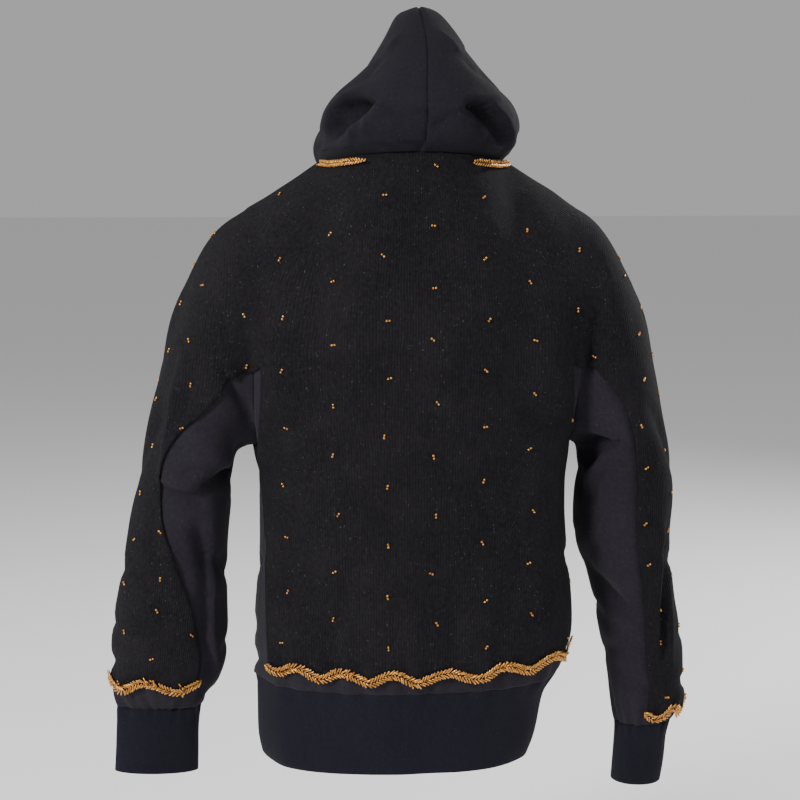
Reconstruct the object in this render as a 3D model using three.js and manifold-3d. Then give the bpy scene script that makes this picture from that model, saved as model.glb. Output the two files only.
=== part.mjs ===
// A women's zip hoodie, worn on nobody: heavy fleece, with a wool knit laid over the back and the sleeves.
// Millimetres, +Z up. The wearer faces -Y, the wearer's left is +X, and the origin is in the neck opening.
import * as THREE from "three";
import { mergeVertices } from "three/addons/utils/BufferGeometryUtils.js";
import Module from "manifold-3d";

const wasm = await Module();
wasm.setup();

// Cloth
const FLEECE = 2.2; // thickness of the fleece
const KNIT = 1.5; // thickness of the wool knit
const LAY = 0.3; // air between the knit and the fleece below it
const SEAM = 0.3; // air between two pieces at a seam
const EDGE_LIFT = 0.6; // more air under the knit's scalloped ends

// How finely each piece is divided
const SHOULDER_COLUMNS = 5; // along one shoulder seam
const BACK_NECK_COLUMNS = 5; // from the centre back to one shoulder seam
const FRONT_NECK_COLUMNS = 6; // from one shoulder seam to the zip
const SIDE_ROWS = [-546, -538, -494, -464, -434, -404, -374, -346, -322, -302]; // heights, waistband to armpit
const SLEEVE_HALF = 10; // round half a sleeve, and up the body beside the armhole
const SLEEVE_ROWS = 17; // down a sleeve, as far as the cell that holds the knit's scalloped end
const KNIT_EDGE = 6; // the sleeve column where the knit ends on the back of the arm
const KNIT_FRONT = 4; // the sleeve column where the knit ends on the front of the arm
const SCALLOP_SPLIT = 3; // extra points along each cell of a scalloped edge

// Zip
const ZIP_GAP = 5; // from the centre front to the edge of the cloth
const CHAIN_HALF = 2.7;
const CHAIN_THICK = 2.4;
const CHAIN_ENDS = { low: -624, high: -82 };
const TAPE_WIDTH = 15;
const TAPE_THICK = 0.8;
const TAPE_DEEP = FLEECE + 0.3; // from the face of the cloth to the face of the tape
const STOP = { width: 2.2, thick: 2.6, high: 3 };
const BOX = { width: 8.2, thick: 3.6, high: 8 };
const SLIDER = { z: -91, half: 4.3, inner: 3.1, long: 12, plate: 1.5, lift: 0.8, flange: 2 };
const BAIL = { half: 4, open: 2.6, low: 2.3, inside: 4.5, outside: 5.6, wide: 1.6 }; // the loop on the slider
const TAB = { long: 26, half: 3.1, end: 3.9, thick: 1.4, bar: 0.75, up: 3.4, slot: 5.6, slotHalf: 1.4 };

// Trim: a braid of beads sewn along the knit's edges
const BRAID_WIDTH = 9.5;
const BRAID_THICK = 3;

// The body's sections, from the waistband's seam up to the armpit.
// left and right are half widths, back and front are depths from the side seam.
const BODY = [
  { z: -546, left: 168.5, right: 158, back: 104, front: 96 },
  { z: -532, left: 171, right: 164, back: 109, front: 101 },
  { z: -510, left: 170, right: 169, back: 112, front: 105 },
  { z: -485, left: 168.5, right: 170, back: 112, front: 106 },
  { z: -455, left: 166.5, right: 169, back: 111, front: 106 },
  { z: -425, left: 163.5, right: 167, back: 110, front: 106 },
  { z: -390, left: 160.5, right: 164, back: 110, front: 107 },
  { z: -355, left: 161.5, right: 162.5, back: 111, front: 109 },
  { z: -325, left: 165, right: 164, back: 112, front: 111 },
  { z: -302, left: 168, right: 168, back: 113, front: 112 },
];

// The waistband's sections, from the seam down to the hem.
const WAISTBAND = [
  { z: -546, left: 168, right: 157.5, back: 103.5, front: 95.5 },
  { z: -556, left: 166, right: 151, back: 100, front: 92 },
  { z: -572, left: 166, right: 140, back: 97, front: 89 },
  { z: -600, left: 167, right: 137, back: 96, front: 88 },
  { z: -622, left: 167.5, right: 134, back: 95, front: 87 },
  { z: -634, left: 163, right: 128, back: 93, front: 85 },
];

// Half of the neckline, from the centre back round to the zip.
const NECK_BACK = [
  { x: 0, y: 86, z: 6 },
  { x: 36, y: 80, z: 5 },
  { x: 68, y: 58, z: 2 },
  { x: 92, y: 8, z: -2 },
];
const NECK_FRONT = [
  { x: 92, y: 8, z: -2 },
  { x: 86, y: -36, z: -16 },
  { x: 62, y: -71, z: -44 },
  { x: 30, y: -90, z: -66 },
  { x: ZIP_GAP, y: -94, z: -74 },
];

// Sleeve sections. Each is a ring through an outer and an inner point, with a depth to the back and the front.
// knit is the angle, from the outer point towards the back, at which the knit ends.
const SLEEVE_LEFT = [
  { ox: 170, oz: -52, ix: 169, iz: -302, back: 78, front: 76, y: 2, knit: 108 },
  { ox: 192, oz: -65, ix: 179, iz: -304, back: 77, front: 75, y: 2, knit: 107 },
  { ox: 215, oz: -91, ix: 185, iz: -309, back: 75, front: 73, y: 1, knit: 105 },
  { ox: 236, oz: -138, ix: 188, iz: -317, back: 72, front: 70, y: 0, knit: 101 },
  { ox: 251, oz: -188, ix: 189, iz: -328, back: 68, front: 66, y: -1, knit: 90 },
  { ox: 265, oz: -238, ix: 189, iz: -341, back: 64, front: 62, y: -2, knit: 72 },
  { ox: 277, oz: -289, ix: 191, iz: -361, back: 60, front: 58, y: -4, knit: 56 },
  { ox: 289, oz: -340, ix: 193, iz: -386, back: 57, front: 56, y: -6, knit: 58 },
  { ox: 299, oz: -391, ix: 195, iz: -415, back: 55, front: 54, y: -8, knit: 82 },
  { ox: 309, oz: -442, ix: 195, iz: -452, back: 54, front: 53, y: -10, knit: 103 },
  { ox: 317, oz: -485, ix: 194, iz: -491, back: 52, front: 52, y: -12, knit: 118 },
  { ox: 322, oz: -522, ix: 195, iz: -527, back: 47, front: 48, y: -14, knit: 124 },
  { ox: 323, oz: -550, ix: 200, iz: -554, back: 39, front: 40, y: -15, knit: 124 },
  { ox: 320, oz: -570, ix: 210, iz: -573, back: 29, front: 30, y: -16, knit: 120 },
  { ox: 315, oz: -583, ix: 224, iz: -585, back: 20, front: 20, y: -16, knit: 118 },
];
const CUFF_LEFT = [
  { ox: 314.5, oz: -583, ix: 224.5, iz: -585, back: 19.5, front: 19.5, y: -16 },
  { ox: 317, oz: -603, ix: 228, iz: -605, back: 18, front: 18, y: -16 },
  { ox: 319, oz: -630, ix: 229, iz: -632, back: 18, front: 18, y: -16 },
  { ox: 321, oz: -655, ix: 230, iz: -656, back: 18, front: 18, y: -16 },
];
const SLEEVE_RIGHT = [
  { ox: -170, oz: -52, ix: -169, iz: -302, back: 78, front: 76, y: 2, knit: 108 },
  { ox: -193, oz: -65, ix: -179, iz: -303, back: 77, front: 75, y: 2, knit: 106 },
  { ox: -217, oz: -102, ix: -184, iz: -307, back: 75, front: 73, y: 1, knit: 104 },
  { ox: -238, oz: -152, ix: -185, iz: -316, back: 72, front: 70, y: 0, knit: 98 },
  { ox: -253, oz: -202, ix: -183, iz: -328, back: 68, front: 66, y: -2, knit: 88 },
  { ox: -265, oz: -254, ix: -180, iz: -342, back: 64, front: 62, y: -4, knit: 82 },
  { ox: -277, oz: -305, ix: -177, iz: -362, back: 60, front: 60, y: -7, knit: 82 },
  { ox: -281, oz: -355, ix: -176, iz: -390, back: 56, front: 57, y: -10, knit: 85 },
  { ox: -278, oz: -398, ix: -184, iz: -421, back: 54, front: 54, y: -13, knit: 84 },
  { ox: -284, oz: -443, ix: -198, iz: -455, back: 52, front: 52, y: -16, knit: 86 },
  { ox: -292, oz: -488, ix: -206, iz: -496, back: 51, front: 51, y: -19, knit: 92 },
  { ox: -299, oz: -528, ix: -211, iz: -533, back: 50, front: 50, y: -21, knit: 96 },
  { ox: -304, oz: -565, ix: -218, iz: -569, back: 47, front: 47, y: -23, knit: 97 },
  { ox: -303, oz: -594, ix: -222, iz: -597, back: 41, front: 41, y: -24, knit: 98 },
  { ox: -291, oz: -613, ix: -226, iz: -615, back: 34, front: 34, y: -24, knit: 98 },
];
const CUFF_RIGHT = [
  { ox: -290.5, oz: -613, ix: -226.5, iz: -615, back: 33.5, front: 33.5, y: -24 },
  { ox: -287, oz: -632, ix: -226, iz: -633, back: 32, front: 32, y: -24 },
  { ox: -285, oz: -656, ix: -225, iz: -657, back: 31, front: 31, y: -24 },
  { ox: -281, oz: -682, ix: -224, iz: -682, back: 31, front: 31, y: -24 },
];

// The hood's rows above the neckline. back, side and front are heights; w is the half width at the side, which
// lies at y; yb and yf are the back and the front edge; edge is the half width of the face opening.
const HOOD = [
  { back: 17, side: 8, front: -46, w: 101, y: 6, yb: 97, yf: -102, edge: 20, x: -5 },
  { back: 31, side: 24, front: -16, w: 105, y: 6, yb: 105, yf: -109, edge: 36, x: -7 },
  { back: 46, side: 41, front: 14, w: 103, y: 5, yb: 107, yf: -110, edge: 46, x: -7 },
  { back: 61, side: 58, front: 42, w: 96, y: 3, yb: 101, yf: -109, edge: 49, x: -7 },
  { back: 77, side: 75, front: 66, w: 81, y: 0, yb: 90, yf: -105, edge: 47, x: -8 },
  { back: 93, side: 92, front: 88, w: 65, y: -4, yb: 76, yf: -99, edge: 41, x: -10 },
  { back: 109, side: 108, front: 107, w: 51, y: -8, yb: 61, yf: -92, edge: 33, x: -11 },
  { back: 125, side: 124, front: 123, w: 39, y: -13, yb: 44, yf: -85, edge: 26, x: -11 },
  { back: 140, side: 138, front: 136, w: 30, y: -18, yb: 26, yf: -79, edge: 20, x: -10 },
  { back: 151, side: 149, front: 146, w: 23, y: -24, yb: 10, yf: -74, edge: 15, x: -9 },
  { back: 156, side: 154, front: 152, w: 14, y: -30, yb: -2, yf: -70, edge: 9, x: -8 },
];
const CROWN = { x: -8, yb: -8, yf: -69, back: 157, front: 153 };

// Folds, each a soft line seen from one side, from (a, z) to (b, w) in that side's view. A depth below zero sinks.
const FOLDS = [
  { side: "back", a: 64, z: 55, b: 90, w: 24, width: 9, depth: -17 }, // pocket under the hood's left roll
  { side: "back", a: -58, z: 54, b: -98, w: 20, width: 8, depth: -15 },
  { side: "back", a: 62, z: 70, b: 96, w: 40, width: 9, depth: 5 },
  { side: "back", a: -60, z: 70, b: -106, w: 38, width: 9, depth: 5 },
  { side: "back", a: 42, z: 52, b: 78, w: 18, width: 9, depth: 5 },
  { side: "back", a: -42, z: 50, b: -84, w: 16, width: 9, depth: 5 },
  { side: "back", a: 24, z: 42, b: -2, w: 27, width: 7, depth: -3.5 },
  { side: "back", a: -28, z: 40, b: -4, w: 27, width: 7, depth: -3 },
  { side: "back", a: 14, z: 128, b: 38, w: 100, width: 6, depth: 3 }, // ridge down from the hood's peak
  { side: "back", a: -36, z: 124, b: -62, w: 84, width: 7, depth: 3 },
  { side: "left", a: -44, z: 0, b: -58, w: 30, width: 22, depth: 17 }, // the hood's front edge, turned out
  { side: "left", a: -20, z: 30, b: -70, w: 62, width: 13, depth: -9 },
  { side: "right", a: -20, z: 30, b: -70, w: 62, width: 13, depth: -9 },
  { side: "left", a: 40, z: 100, b: -60, w: 92, width: 11, depth: -5 },
  { side: "right", a: 36, z: 96, b: -60, w: 98, width: 11, depth: -5 },
  { side: "back", a: 178, z: -190, b: 173, w: -262, width: 13, depth: -9 }, // the left armhole's fold
  { side: "back", a: -178, z: -108, b: -176, w: -262, width: 15, depth: -11 },
  { side: "back", a: 160, z: -292, b: 96, w: -228, width: 20, depth: -5 },
  { side: "back", a: -160, z: -282, b: -104, w: -214, width: 20, depth: -5 },
  { side: "back", a: 60, z: -60, b: 128, w: -120, width: 22, depth: 3 },
  { side: "back", a: -60, z: -60, b: -128, w: -120, width: 22, depth: 3 },
  { side: "back", a: 112, z: -500, b: 84, w: -430, width: 16, depth: -4 },
  { side: "back", a: -96, z: -505, b: -120, w: -430, width: 16, depth: -4 },
  { side: "back", a: 8, z: -515, b: 16, w: -450, width: 18, depth: -3 },
  { side: "front", a: 160, z: -292, b: 92, w: -236, width: 20, depth: -6 },
  { side: "front", a: -160, z: -292, b: -92, w: -236, width: 20, depth: -6 },
  { side: "front", a: 176, z: -150, b: 172, w: -262, width: 14, depth: -9 },
  { side: "front", a: -176, z: -150, b: -172, w: -262, width: 14, depth: -9 },
  { side: "front", a: 118, z: -505, b: 76, w: -400, width: 18, depth: -5 },
  { side: "front", a: -116, z: -505, b: -70, w: -410, width: 18, depth: -5 },
  { side: "front", a: 44, z: -515, b: 60, w: -460, width: 12, depth: -4 },
  { side: "front", a: -46, z: -515, b: -64, w: -450, width: 12, depth: -4 },
  { side: "back", a: 262, z: -330, b: 188, w: -316, width: 13, depth: -8 }, // under the left arm
  { side: "back", a: 256, z: -318, b: 214, w: -336, width: 9, depth: 5 },
  { side: "back", a: 232, z: -352, b: 206, w: -420, width: 13, depth: -5 },
  { side: "back", a: 218, z: -480, b: 262, w: -520, width: 14, depth: -6 },
  { side: "back", a: -176, z: -290, b: -214, w: -303, width: 11, depth: -9 }, // under the right arm
  { side: "back", a: -210, z: -304, b: -186, w: -372, width: 11, depth: -8 },
  { side: "back", a: -180, z: -415, b: -240, w: -488, width: 12, depth: -7 },
  { side: "back", a: -196, z: -400, b: -246, w: -462, width: 10, depth: 4 },
  { side: "back", a: 246, z: -222, b: 270, w: -290, width: 12, depth: -4 },
  { side: "front", a: 262, z: -330, b: 192, w: -336, width: 13, depth: -8 },
  { side: "front", a: -262, z: -330, b: -182, w: -338, width: 13, depth: -8 },
  { side: "front", a: 300, z: -430, b: 208, w: -474, width: 14, depth: -6 },
  { side: "front", a: -276, z: -420, b: -204, w: -470, width: 14, depth: -6 },
  { side: "front", a: 232, z: -200, b: 268, w: -290, width: 14, depth: -5 },
  { side: "front", a: -232, z: -200, b: -264, w: -290, width: 14, depth: -5 },
  { side: "left", a: -30, z: -545, b: 24, w: -516, width: 11, depth: -5 },
  { side: "right", a: -40, z: -575, b: 16, w: -545, width: 11, depth: -5 },
];

// The scalloped edges: waves along the hem, their depth, and how far the right end sweeps up.
const HEM_WAVES = 7.3;
const HEM_WAVE = 4.6; // half of the height from a trough to a crest
const HEM_EDGE = { left: -523, middle: -527, right: -518 }; // mean height of the edge
const HEM_SWEEP = { from: 0.9, rise: 26 }; // the last part of the edge at the right rises
const CUFF_WAVES = 3.2;
// Shares of a sleeve's table between which its scalloped end lies, and the end's own place in between.
const SCALLOPS = {
  left: { above: 0.826, below: 0.925, front: 0.62, back: 0.36, wave: 0.2 },
  right: { above: 0.9, below: 0.98, front: 0.5, back: 0.6, wave: 0.22 },
};

// A curve through the rows of a table: at(t) gives every named column at t from 0 to 1.
function through(rows) {
  const names = Object.keys(rows[0]);
  const last = rows.length - 1;
  return (t) => {
    const s = Math.min(Math.max(t, 0), 1) * last;
    const i = Math.min(Math.floor(s), last - 1);
    const f = s - i;
    const out = {};
    for (const name of names) {
      const p1 = rows[i][name];
      const p2 = rows[i + 1][name];
      const p0 = i > 0 ? rows[i - 1][name] : 2 * p1 - p2;
      const p3 = i + 2 <= last ? rows[i + 2][name] : 2 * p2 - p1;
      const m1 = (p2 - p0) / 2;
      const m2 = (p3 - p1) / 2;
      const a = 2 * p1 - 2 * p2 + m1 + m2;
      const b = 3 * p2 - 3 * p1 - 2 * m1 - m2;
      out[name] = p1 + f * (m1 + f * (b + f * a));
    }
    return out;
  };
}

// The section of a table's curve that lies at the height z, where the heights rise along the table.
function sectionAt(at, z) {
  let [low, high] = [0, 1];
  for (let i = 0; i < 30; i++) {
    const t = (low + high) / 2;
    if (at(t).z < z) low = t;
    else high = t;
  }
  return { ...at(low), z };
}

const point = (x, y, z) => new THREE.Vector3(x, y, z);
const mix = (a, b, t) => a + (b - a) * t;

// Points spread evenly along a dense line, or at the given shares of its length.
function spread(line, shares) {
  const run = [0];
  for (let i = 1; i < line.length; i++) run.push(run[i - 1] + line[i].distanceTo(line[i - 1]));
  const length = run[run.length - 1];
  return shares.map((share) => {
    const want = share * length;
    let i = 1;
    while (i < run.length - 1 && run[i] < want) i++;
    const f = (want - run[i - 1]) / (run[i] - run[i - 1] || 1);
    return line[i - 1].clone().lerp(line[i], f);
  });
}
const even = (count) => Array.from({ length: count + 1 }, (_, i) => i / count);

// All cloth surfaces share one list of vertices, so that pieces that meet at a seam share their corners.
const vertices = [];
const keys = new Map();
const surfaces = new Map(); // a piece's name to its faces, each a list of vertex numbers, seen from outside
function vertex(p) {
  const key = [p.x, p.y, p.z].map((v) => Math.round(v * 20)).join();
  if (!keys.has(key)) {
    keys.set(key, vertices.length);
    vertices.push(p.clone());
  }
  return keys.get(key);
}

// Numbers a grid of points, and lays faces on it. turn is true where rows and columns face inwards.
const number = (grid) => grid.map((row) => row.map(vertex));
function lay(name, grid, turn = false) {
  const faces = surfaces.get(name) || [];
  surfaces.set(name, faces);
  for (let r = 0; r + 1 < grid.length; r++)
    for (let c = 0; c + 1 < grid[r].length; c++) {
      const corners = [grid[r][c], grid[r][c + 1], grid[r + 1][c + 1], grid[r + 1][c]];
      const ring = corners.filter((v, i) => v !== corners[(i + 3) % 4]);
      if (ring.length > 2) faces.push(turn ? ring.reverse() : ring);
    }
}

// A rounded section's quarter: from the side (w, 0) to the middle (0, d), as a superellipse.
function quarter(w, d, power = 2.3, steps = 40) {
  return Array.from({ length: steps + 1 }, (_, i) => {
    const a = (Math.PI / 2) * (i / steps);
    return [w * Math.cos(a) ** (2 / power), d * Math.sin(a) ** (2 / power)];
  });
}

// The shares of a body row's width at which its columns lie, from the side seam to the centre back.
// The first column is the strip of fleece beside the knit.
function columnShares(count, strip) {
  return [0, ...Array.from({ length: count }, (_, i) => mix(strip, 1, i / (count - 1)))];
}
const BACK_HALF = SHOULDER_COLUMNS + BACK_NECK_COLUMNS;
const FRONT_HALF = SHOULDER_COLUMNS + FRONT_NECK_COLUMNS;

// One half of a body row: side is 1 at the wearer's left and -1 at the right, way is 1 at the back.
function halfRow(section, side, way, count, strip) {
  const w = side > 0 ? section.left : section.right;
  const d = way > 0 ? section.back : section.front;
  const end = way > 0 ? 0 : ZIP_GAP;
  const line = quarter(w - end, d).map(([x, y]) => point(side * (x + end), way * y, section.z));
  return spread(line, columnShares(count, strip));
}

// The sleeve's rings. A column runs down from the shoulder at 0, round the back of the arm, to the armpit.
function sleevePoint(section, angle) {
  const mid = point((section.ox + section.ix) / 2, section.y, (section.oz + section.iz) / 2);
  const out = point(section.ox, section.y, section.oz).sub(mid);
  const depth = angle >= 0 ? section.back : section.front;
  return mid.addScaledVector(out, Math.cos(angle)).add(point(0, depth * Math.sin(angle), 0));
}
function sleeveAngles(knit) {
  const edge = THREE.MathUtils.degToRad(knit);
  const front = THREE.MathUtils.degToRad(Math.min(knit, 72));
  const back = [];
  const fore = [];
  for (let j = 0; j <= SLEEVE_HALF; j++) {
    back.push(spaced(j, KNIT_EDGE, edge));
    fore.push(-spaced(j, KNIT_FRONT, front));
  }
  return { back, fore };
}
function spaced(j, at, edge) {
  if (j <= at) return (edge * j) / at;
  return mix(edge, Math.PI, (j - at) / (SLEEVE_HALF - at));
}

// A sleeve's ring of points: the back half from the shoulder to the armpit, then the front half back up.
function sleeveRing(section) {
  const { back, fore } = sleeveAngles(section.knit);
  const down = back.map((a) => sleevePoint(section, a));
  const up = fore.map((a) => sleevePoint(section, a));
  return [...down, ...up.slice(1, -1).reverse()];
}

// The centre lines of the body, from the armpit's height up to the neck.
const CENTRE_BACK = [
  { y: 113, z: -302 },
  { y: 114, z: -220 },
  { y: 109, z: -130 },
  { y: 98, z: -50 },
  { y: 86, z: 6 },
];
const CENTRE_FRONT = [
  { y: -112, z: -302 },
  { y: -109, z: -230 },
  { y: -103, z: -165 },
  { y: -96, z: -112 },
  { y: -94, z: -74 },
];
const STRIP = { hem: 0.1, armpit: 0.05 }; // share of a half panel's width left bare at the side seam
const STRIP_LEFT = { hem: 0.28, armpit: 0.12 }; // the same at the back's left, where the knit hangs askew
const stripAt = (side, way, rise) => {
  const strip = side > 0 && way > 0 ? STRIP_LEFT : STRIP;
  return mix(strip.hem, strip.armpit, rise);
};

// A half panel of the body, from the waistband up: rows of points from the side seam to the centre.
function halfPanel(side, way) {
  const count = way > 0 ? BACK_HALF : FRONT_HALF;
  const body = through(BODY);
  const low = BODY[0].z;
  const armhole = sleeveHalf(side > 0 ? SLEEVE_LEFT[0] : SLEEVE_RIGHT[0], way).reverse();
  const rows = SIDE_ROWS.map((z) => {
    const rise = (z - low) / (BODY[BODY.length - 1].z - low);
    return halfRow(sectionAt(body, z), side, way, count, stripAt(side, way, rise));
  });
  const armpit = rows[rows.length - 1];
  armpit[0] = armhole[0];
  const neck = neckHalf(side, way);
  const shoulder = even(SHOULDER_COLUMNS).map((t) => armhole[SLEEVE_HALF].clone().lerp(neck[0], t));
  const top = [...shoulder, ...neck.slice(1)];
  const line = through(way > 0 ? CENTRE_BACK : CENTRE_FRONT);
  const middle = even(SLEEVE_HALF).map((t) => point(top[count].x, line(t).y, line(t).z));
  armpit[count] = middle[0];
  middle[SLEEVE_HALF] = top[count];
  for (let r = 1; r <= SLEEVE_HALF; r++) {
    const v = r / SLEEVE_HALF;
    rows.push(
      top.map((end, c) => {
        const u = c / count;
        return point(0, 0, 0)
          .addScaledVector(armhole[r], 1 - u)
          .addScaledVector(middle[r], u)
          .addScaledVector(armpit[c], 1 - v)
          .addScaledVector(end, v)
          .addScaledVector(armpit[0], -(1 - u) * (1 - v))
          .addScaledVector(armpit[count], -u * (1 - v))
          .addScaledVector(top[0], -(1 - u) * v)
          .addScaledVector(top[count], -u * v);
      }),
    );
  }
  return rows;
}

// Half a sleeve ring, from the shoulder to the armpit, on the back (way 1) or the front (way -1).
function sleeveHalf(section, way) {
  const { back, fore } = sleeveAngles(section.knit);
  return (way > 0 ? back : fore).map((a) => sleevePoint(section, a));
}

// Half of the neckline from the shoulder seam to the centre back or to the zip.
function neckHalf(side, way) {
  const rows = through(way > 0 ? [...NECK_BACK].reverse() : NECK_FRONT);
  const line = even(60).map((t) => point(side * rows(t).x, rows(t).y, rows(t).z));
  return spread(line, even(way > 0 ? BACK_NECK_COLUMNS : FRONT_NECK_COLUMNS));
}

const atAxis = (p) => point(0, 0, p.z);
const mirrored = (left, right) => left.map((row, r) => [...row, ...right[r].slice(0, -1).reverse()]);
const backGrid = mirrored(halfPanel(1, 1), halfPanel(-1, 1));
const frontLeft = halfPanel(1, -1);
const frontRight = halfPanel(-1, -1);

// The waistband runs from the zip round the back to the zip. Its top row is the body's bottom row.
const bandShares = [0, 0.14, 0.4, 0.72, 1];
const bandRing = (left, back, right) => [...left.reverse(), ...back.slice(1), ...right.slice(1)];
function waistRows() {
  const at = through(WAISTBAND);
  return bandShares.map((t, i) => {
    if (i === 0) return bandRing([...frontLeft[0]], backGrid[0], [...frontRight[0]]);
    const half = (side, way, count) => halfRow(at(t), side, way, count, stripAt(side, way, 0));
    const back = mirrored([half(1, 1, BACK_HALF)], [half(-1, 1, BACK_HALF)])[0];
    return bandRing(half(1, -1, FRONT_HALF), back, half(-1, -1, FRONT_HALF));
  });
}

// The hood's half: rows from the neckline to the crown, columns from the centre back to the face opening.
function hoodHalf(side) {
  const neck = [...neckHalf(side, 1).reverse(), ...neckHalf(side, -1).slice(1)];
  const rows = HOOD.map((row) => {
    const behind = quarter(row.yb - row.y, row.w, 2.1).map(([y, x]) => {
      const turn = (x / row.w) ** 2;
      return point(row.x + side * x, row.y + y, mix(row.back, row.side, turn));
    });
    const before = quarter(row.w - row.edge, row.y - row.yf, 2.1).map(([x, y]) => {
      const turn = y / (row.y - row.yf);
      return point(row.x + side * (row.edge + x), row.y - y, mix(row.side, row.front, turn ** 1.4));
    });
    const back = spread(behind, even(2 * BACK_NECK_COLUMNS));
    return [...back, ...spread(before, even(2 * FRONT_NECK_COLUMNS)).slice(1)];
  });
  const crown = rows[0].map((_, c) => {
    const t = c / (rows[0].length - 1);
    return point(CROWN.x, mix(CROWN.yb, CROWN.yf, t), mix(CROWN.back, CROWN.front, t));
  });
  return { neck, rows: [...rows, crown] };
}

// Lays a grid so that its faces look away from the inner points. turned says which grids were laid backwards.
const turned = new Map();
function layOut(name, grid, inner) {
  let sum = 0;
  for (let r = 0; r + 1 < grid.length; r++)
    for (let c = 0; c + 1 < grid[r].length; c++) {
      const across = grid[r][c + 1].clone().sub(grid[r][c]);
      const along = grid[r + 1][c].clone().sub(grid[r][c]);
      sum += across.cross(along).dot(grid[r][c].clone().sub(inner(grid[r][c], r)));
    }
  const numbers = number(grid);
  lay(name, numbers, sum < 0);
  turned.set(name, sum < 0);
  return numbers;
}

// The hood's rows have two columns for each of the neckline's, so its first faces have five corners.
function layHood(name, side) {
  const { neck, rows } = hoodHalf(side);
  const [row] = layOut(name, rows, hoodInner);
  const line = neck.map(vertex);
  for (let c = 0; c + 1 < line.length; c++) {
    const ring = [line[c], line[c + 1], row[2 * c + 2], row[2 * c + 1], row[2 * c]];
    surfaces.get(name).push(turned.get(name) ? ring.reverse() : ring);
  }
}

const closed = (ring) => [...ring, ring[0]];
function sleeveRows(table, ends) {
  const at = through(table);
  const shares = even(SLEEVE_ROWS).map((t) => t * ends.above);
  return [...shares, ends.below, 1].map((t) => closed(sleeveRing(at(t))));
}
function cuffRows(table, first, knit) {
  const at = through(table);
  return even(3).map((t, i) => (i ? closed(sleeveRing({ ...at(t), knit })) : first));
}
const middleOf = (rows) => (_, r) =>
  rows[r].slice(1).reduce((sum, p) => sum.addScaledVector(p, 1 / (rows[r].length - 1)), point(0, 0, 0));

const hoodInner = (p) => point(-3, p.y > 0 ? 10 : -30, Math.min(p.z - 6, 90));
const numbersBack = layOut("back", backGrid, atAxis);
const numbersFront = {
  left: layOut("front_left", frontLeft, atAxis),
  right: layOut("front_right", frontRight, atAxis),
};
const numbersBand = layOut("waistband", waistRows(), atAxis);
layHood("hood_left", 1);
layHood("hood_right", -1);
const sleeveNumbers = {};
for (const [side, table, cuff] of [
  ["left", SLEEVE_LEFT, CUFF_LEFT],
  ["right", SLEEVE_RIGHT, CUFF_RIGHT],
]) {
  const rows = sleeveRows(table, SCALLOPS[side]);
  sleeveNumbers[side] = layOut("sleeve_" + side, rows, middleOf(rows));
  const ends = cuffRows(cuff, rows[rows.length - 1], table[table.length - 1].knit);
  layOut("cuff_" + side, ends, middleOf(ends));
}

// A vertex's normal is the mean of its faces' normals, whatever piece they belong to.
function normals() {
  const out = vertices.map(() => point(0, 0, 0));
  for (const faces of surfaces.values())
    for (const face of faces)
      for (let i = 1; i + 1 < face.length; i++) {
        const [a, b, c] = [face[0], face[i], face[i + 1]].map((v) => vertices[v]);
        const n = b.clone().sub(a).cross(c.clone().sub(a));
        for (const v of [face[0], face[i], face[i + 1]]) out[v].add(n);
      }
  return out.map((n) => n.normalize());
}

// The folds move each vertex along its normal, where the normal looks to the fold's side.
const VIEWS = {
  back: { across: "x", look: point(0, 1, 0) },
  front: { across: "x", look: point(0, -1, 0) },
  left: { across: "y", look: point(1, 0, 0) },
  right: { across: "y", look: point(-1, 0, 0) },
};
function foldDepth(p, n) {
  let sum = 0;
  for (const fold of FOLDS) {
    const { across, look } = VIEWS[fold.side];
    const facing = n.dot(look);
    if (facing <= 0.05) continue;
    const [dx, dz] = [fold.b - fold.a, fold.w - fold.z];
    const [px, pz] = [p[across] - fold.a, p.z - fold.z];
    const along = Math.min(Math.max((px * dx + pz * dz) / (dx * dx + dz * dz), 0), 1);
    const off = Math.hypot(px - dx * along, pz - dz * along) / fold.width;
    const fade = Math.sin(Math.PI * Math.min(Math.max(along, 0.12), 0.88)) ** 0.6;
    sum += fold.depth * Math.exp(-off * off) * Math.min(1, facing * 1.8) * fade;
  }
  return sum;
}
{
  const flat = normals();
  const moves = vertices.map((p, i) => foldDepth(p, flat[i]));
  vertices.forEach((p, i) => p.addScaledVector(flat[i], moves[i]));
}
const NORMALS = normals();

const group = new THREE.Group();
function add(name, geometry, material) {
  const mesh = new THREE.Mesh(geometry, material);
  mesh.name = name;
  group.add(mesh);
  return mesh;
}
const cloth = (colour, roughness) => new THREE.MeshStandardMaterial({ color: colour, roughness, metalness: 0 });
const FLEECE_CLOTH = cloth(0x1c1a21, 0.92);
const BAND_CLOTH = cloth(0x191822, 0.95);
const KNIT_CLOTH = cloth(0x18161a, 1);
const TAPE_CLOTH = cloth(0x17161b, 0.8);
const GOLD = new THREE.MeshStandardMaterial({ color: 0xc8933f, roughness: 0.38, metalness: 0.8 });
const BRASS = new THREE.MeshStandardMaterial({ color: 0xb48a4a, roughness: 0.35, metalness: 1 });

// Turns faces into triangles: a quad is split across its shorter diagonal.
function triangles(faces, points) {
  const out = [];
  for (const face of faces) {
    let ring = face;
    if (ring.length === 4) {
      const [a, b, c, d] = ring.map((v) => points[v]);
      if (b.distanceTo(d) < a.distanceTo(c)) ring = [...ring.slice(1), ring[0]];
    }
    for (let i = 1; i + 1 < ring.length; i++) out.push([ring[0], ring[i], ring[i + 1]]);
  }
  return out;
}

// The border edges of a surface: those that only one face has.
function border(faces) {
  const seen = new Set();
  for (const face of faces)
    face.forEach((a, i) => seen.add(a + ">" + face[(i + 1) % face.length]));
  return [...seen].map((edge) => edge.split(">").map(Number)).filter(([a, b]) => !seen.has(b + ">" + a));
}

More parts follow.
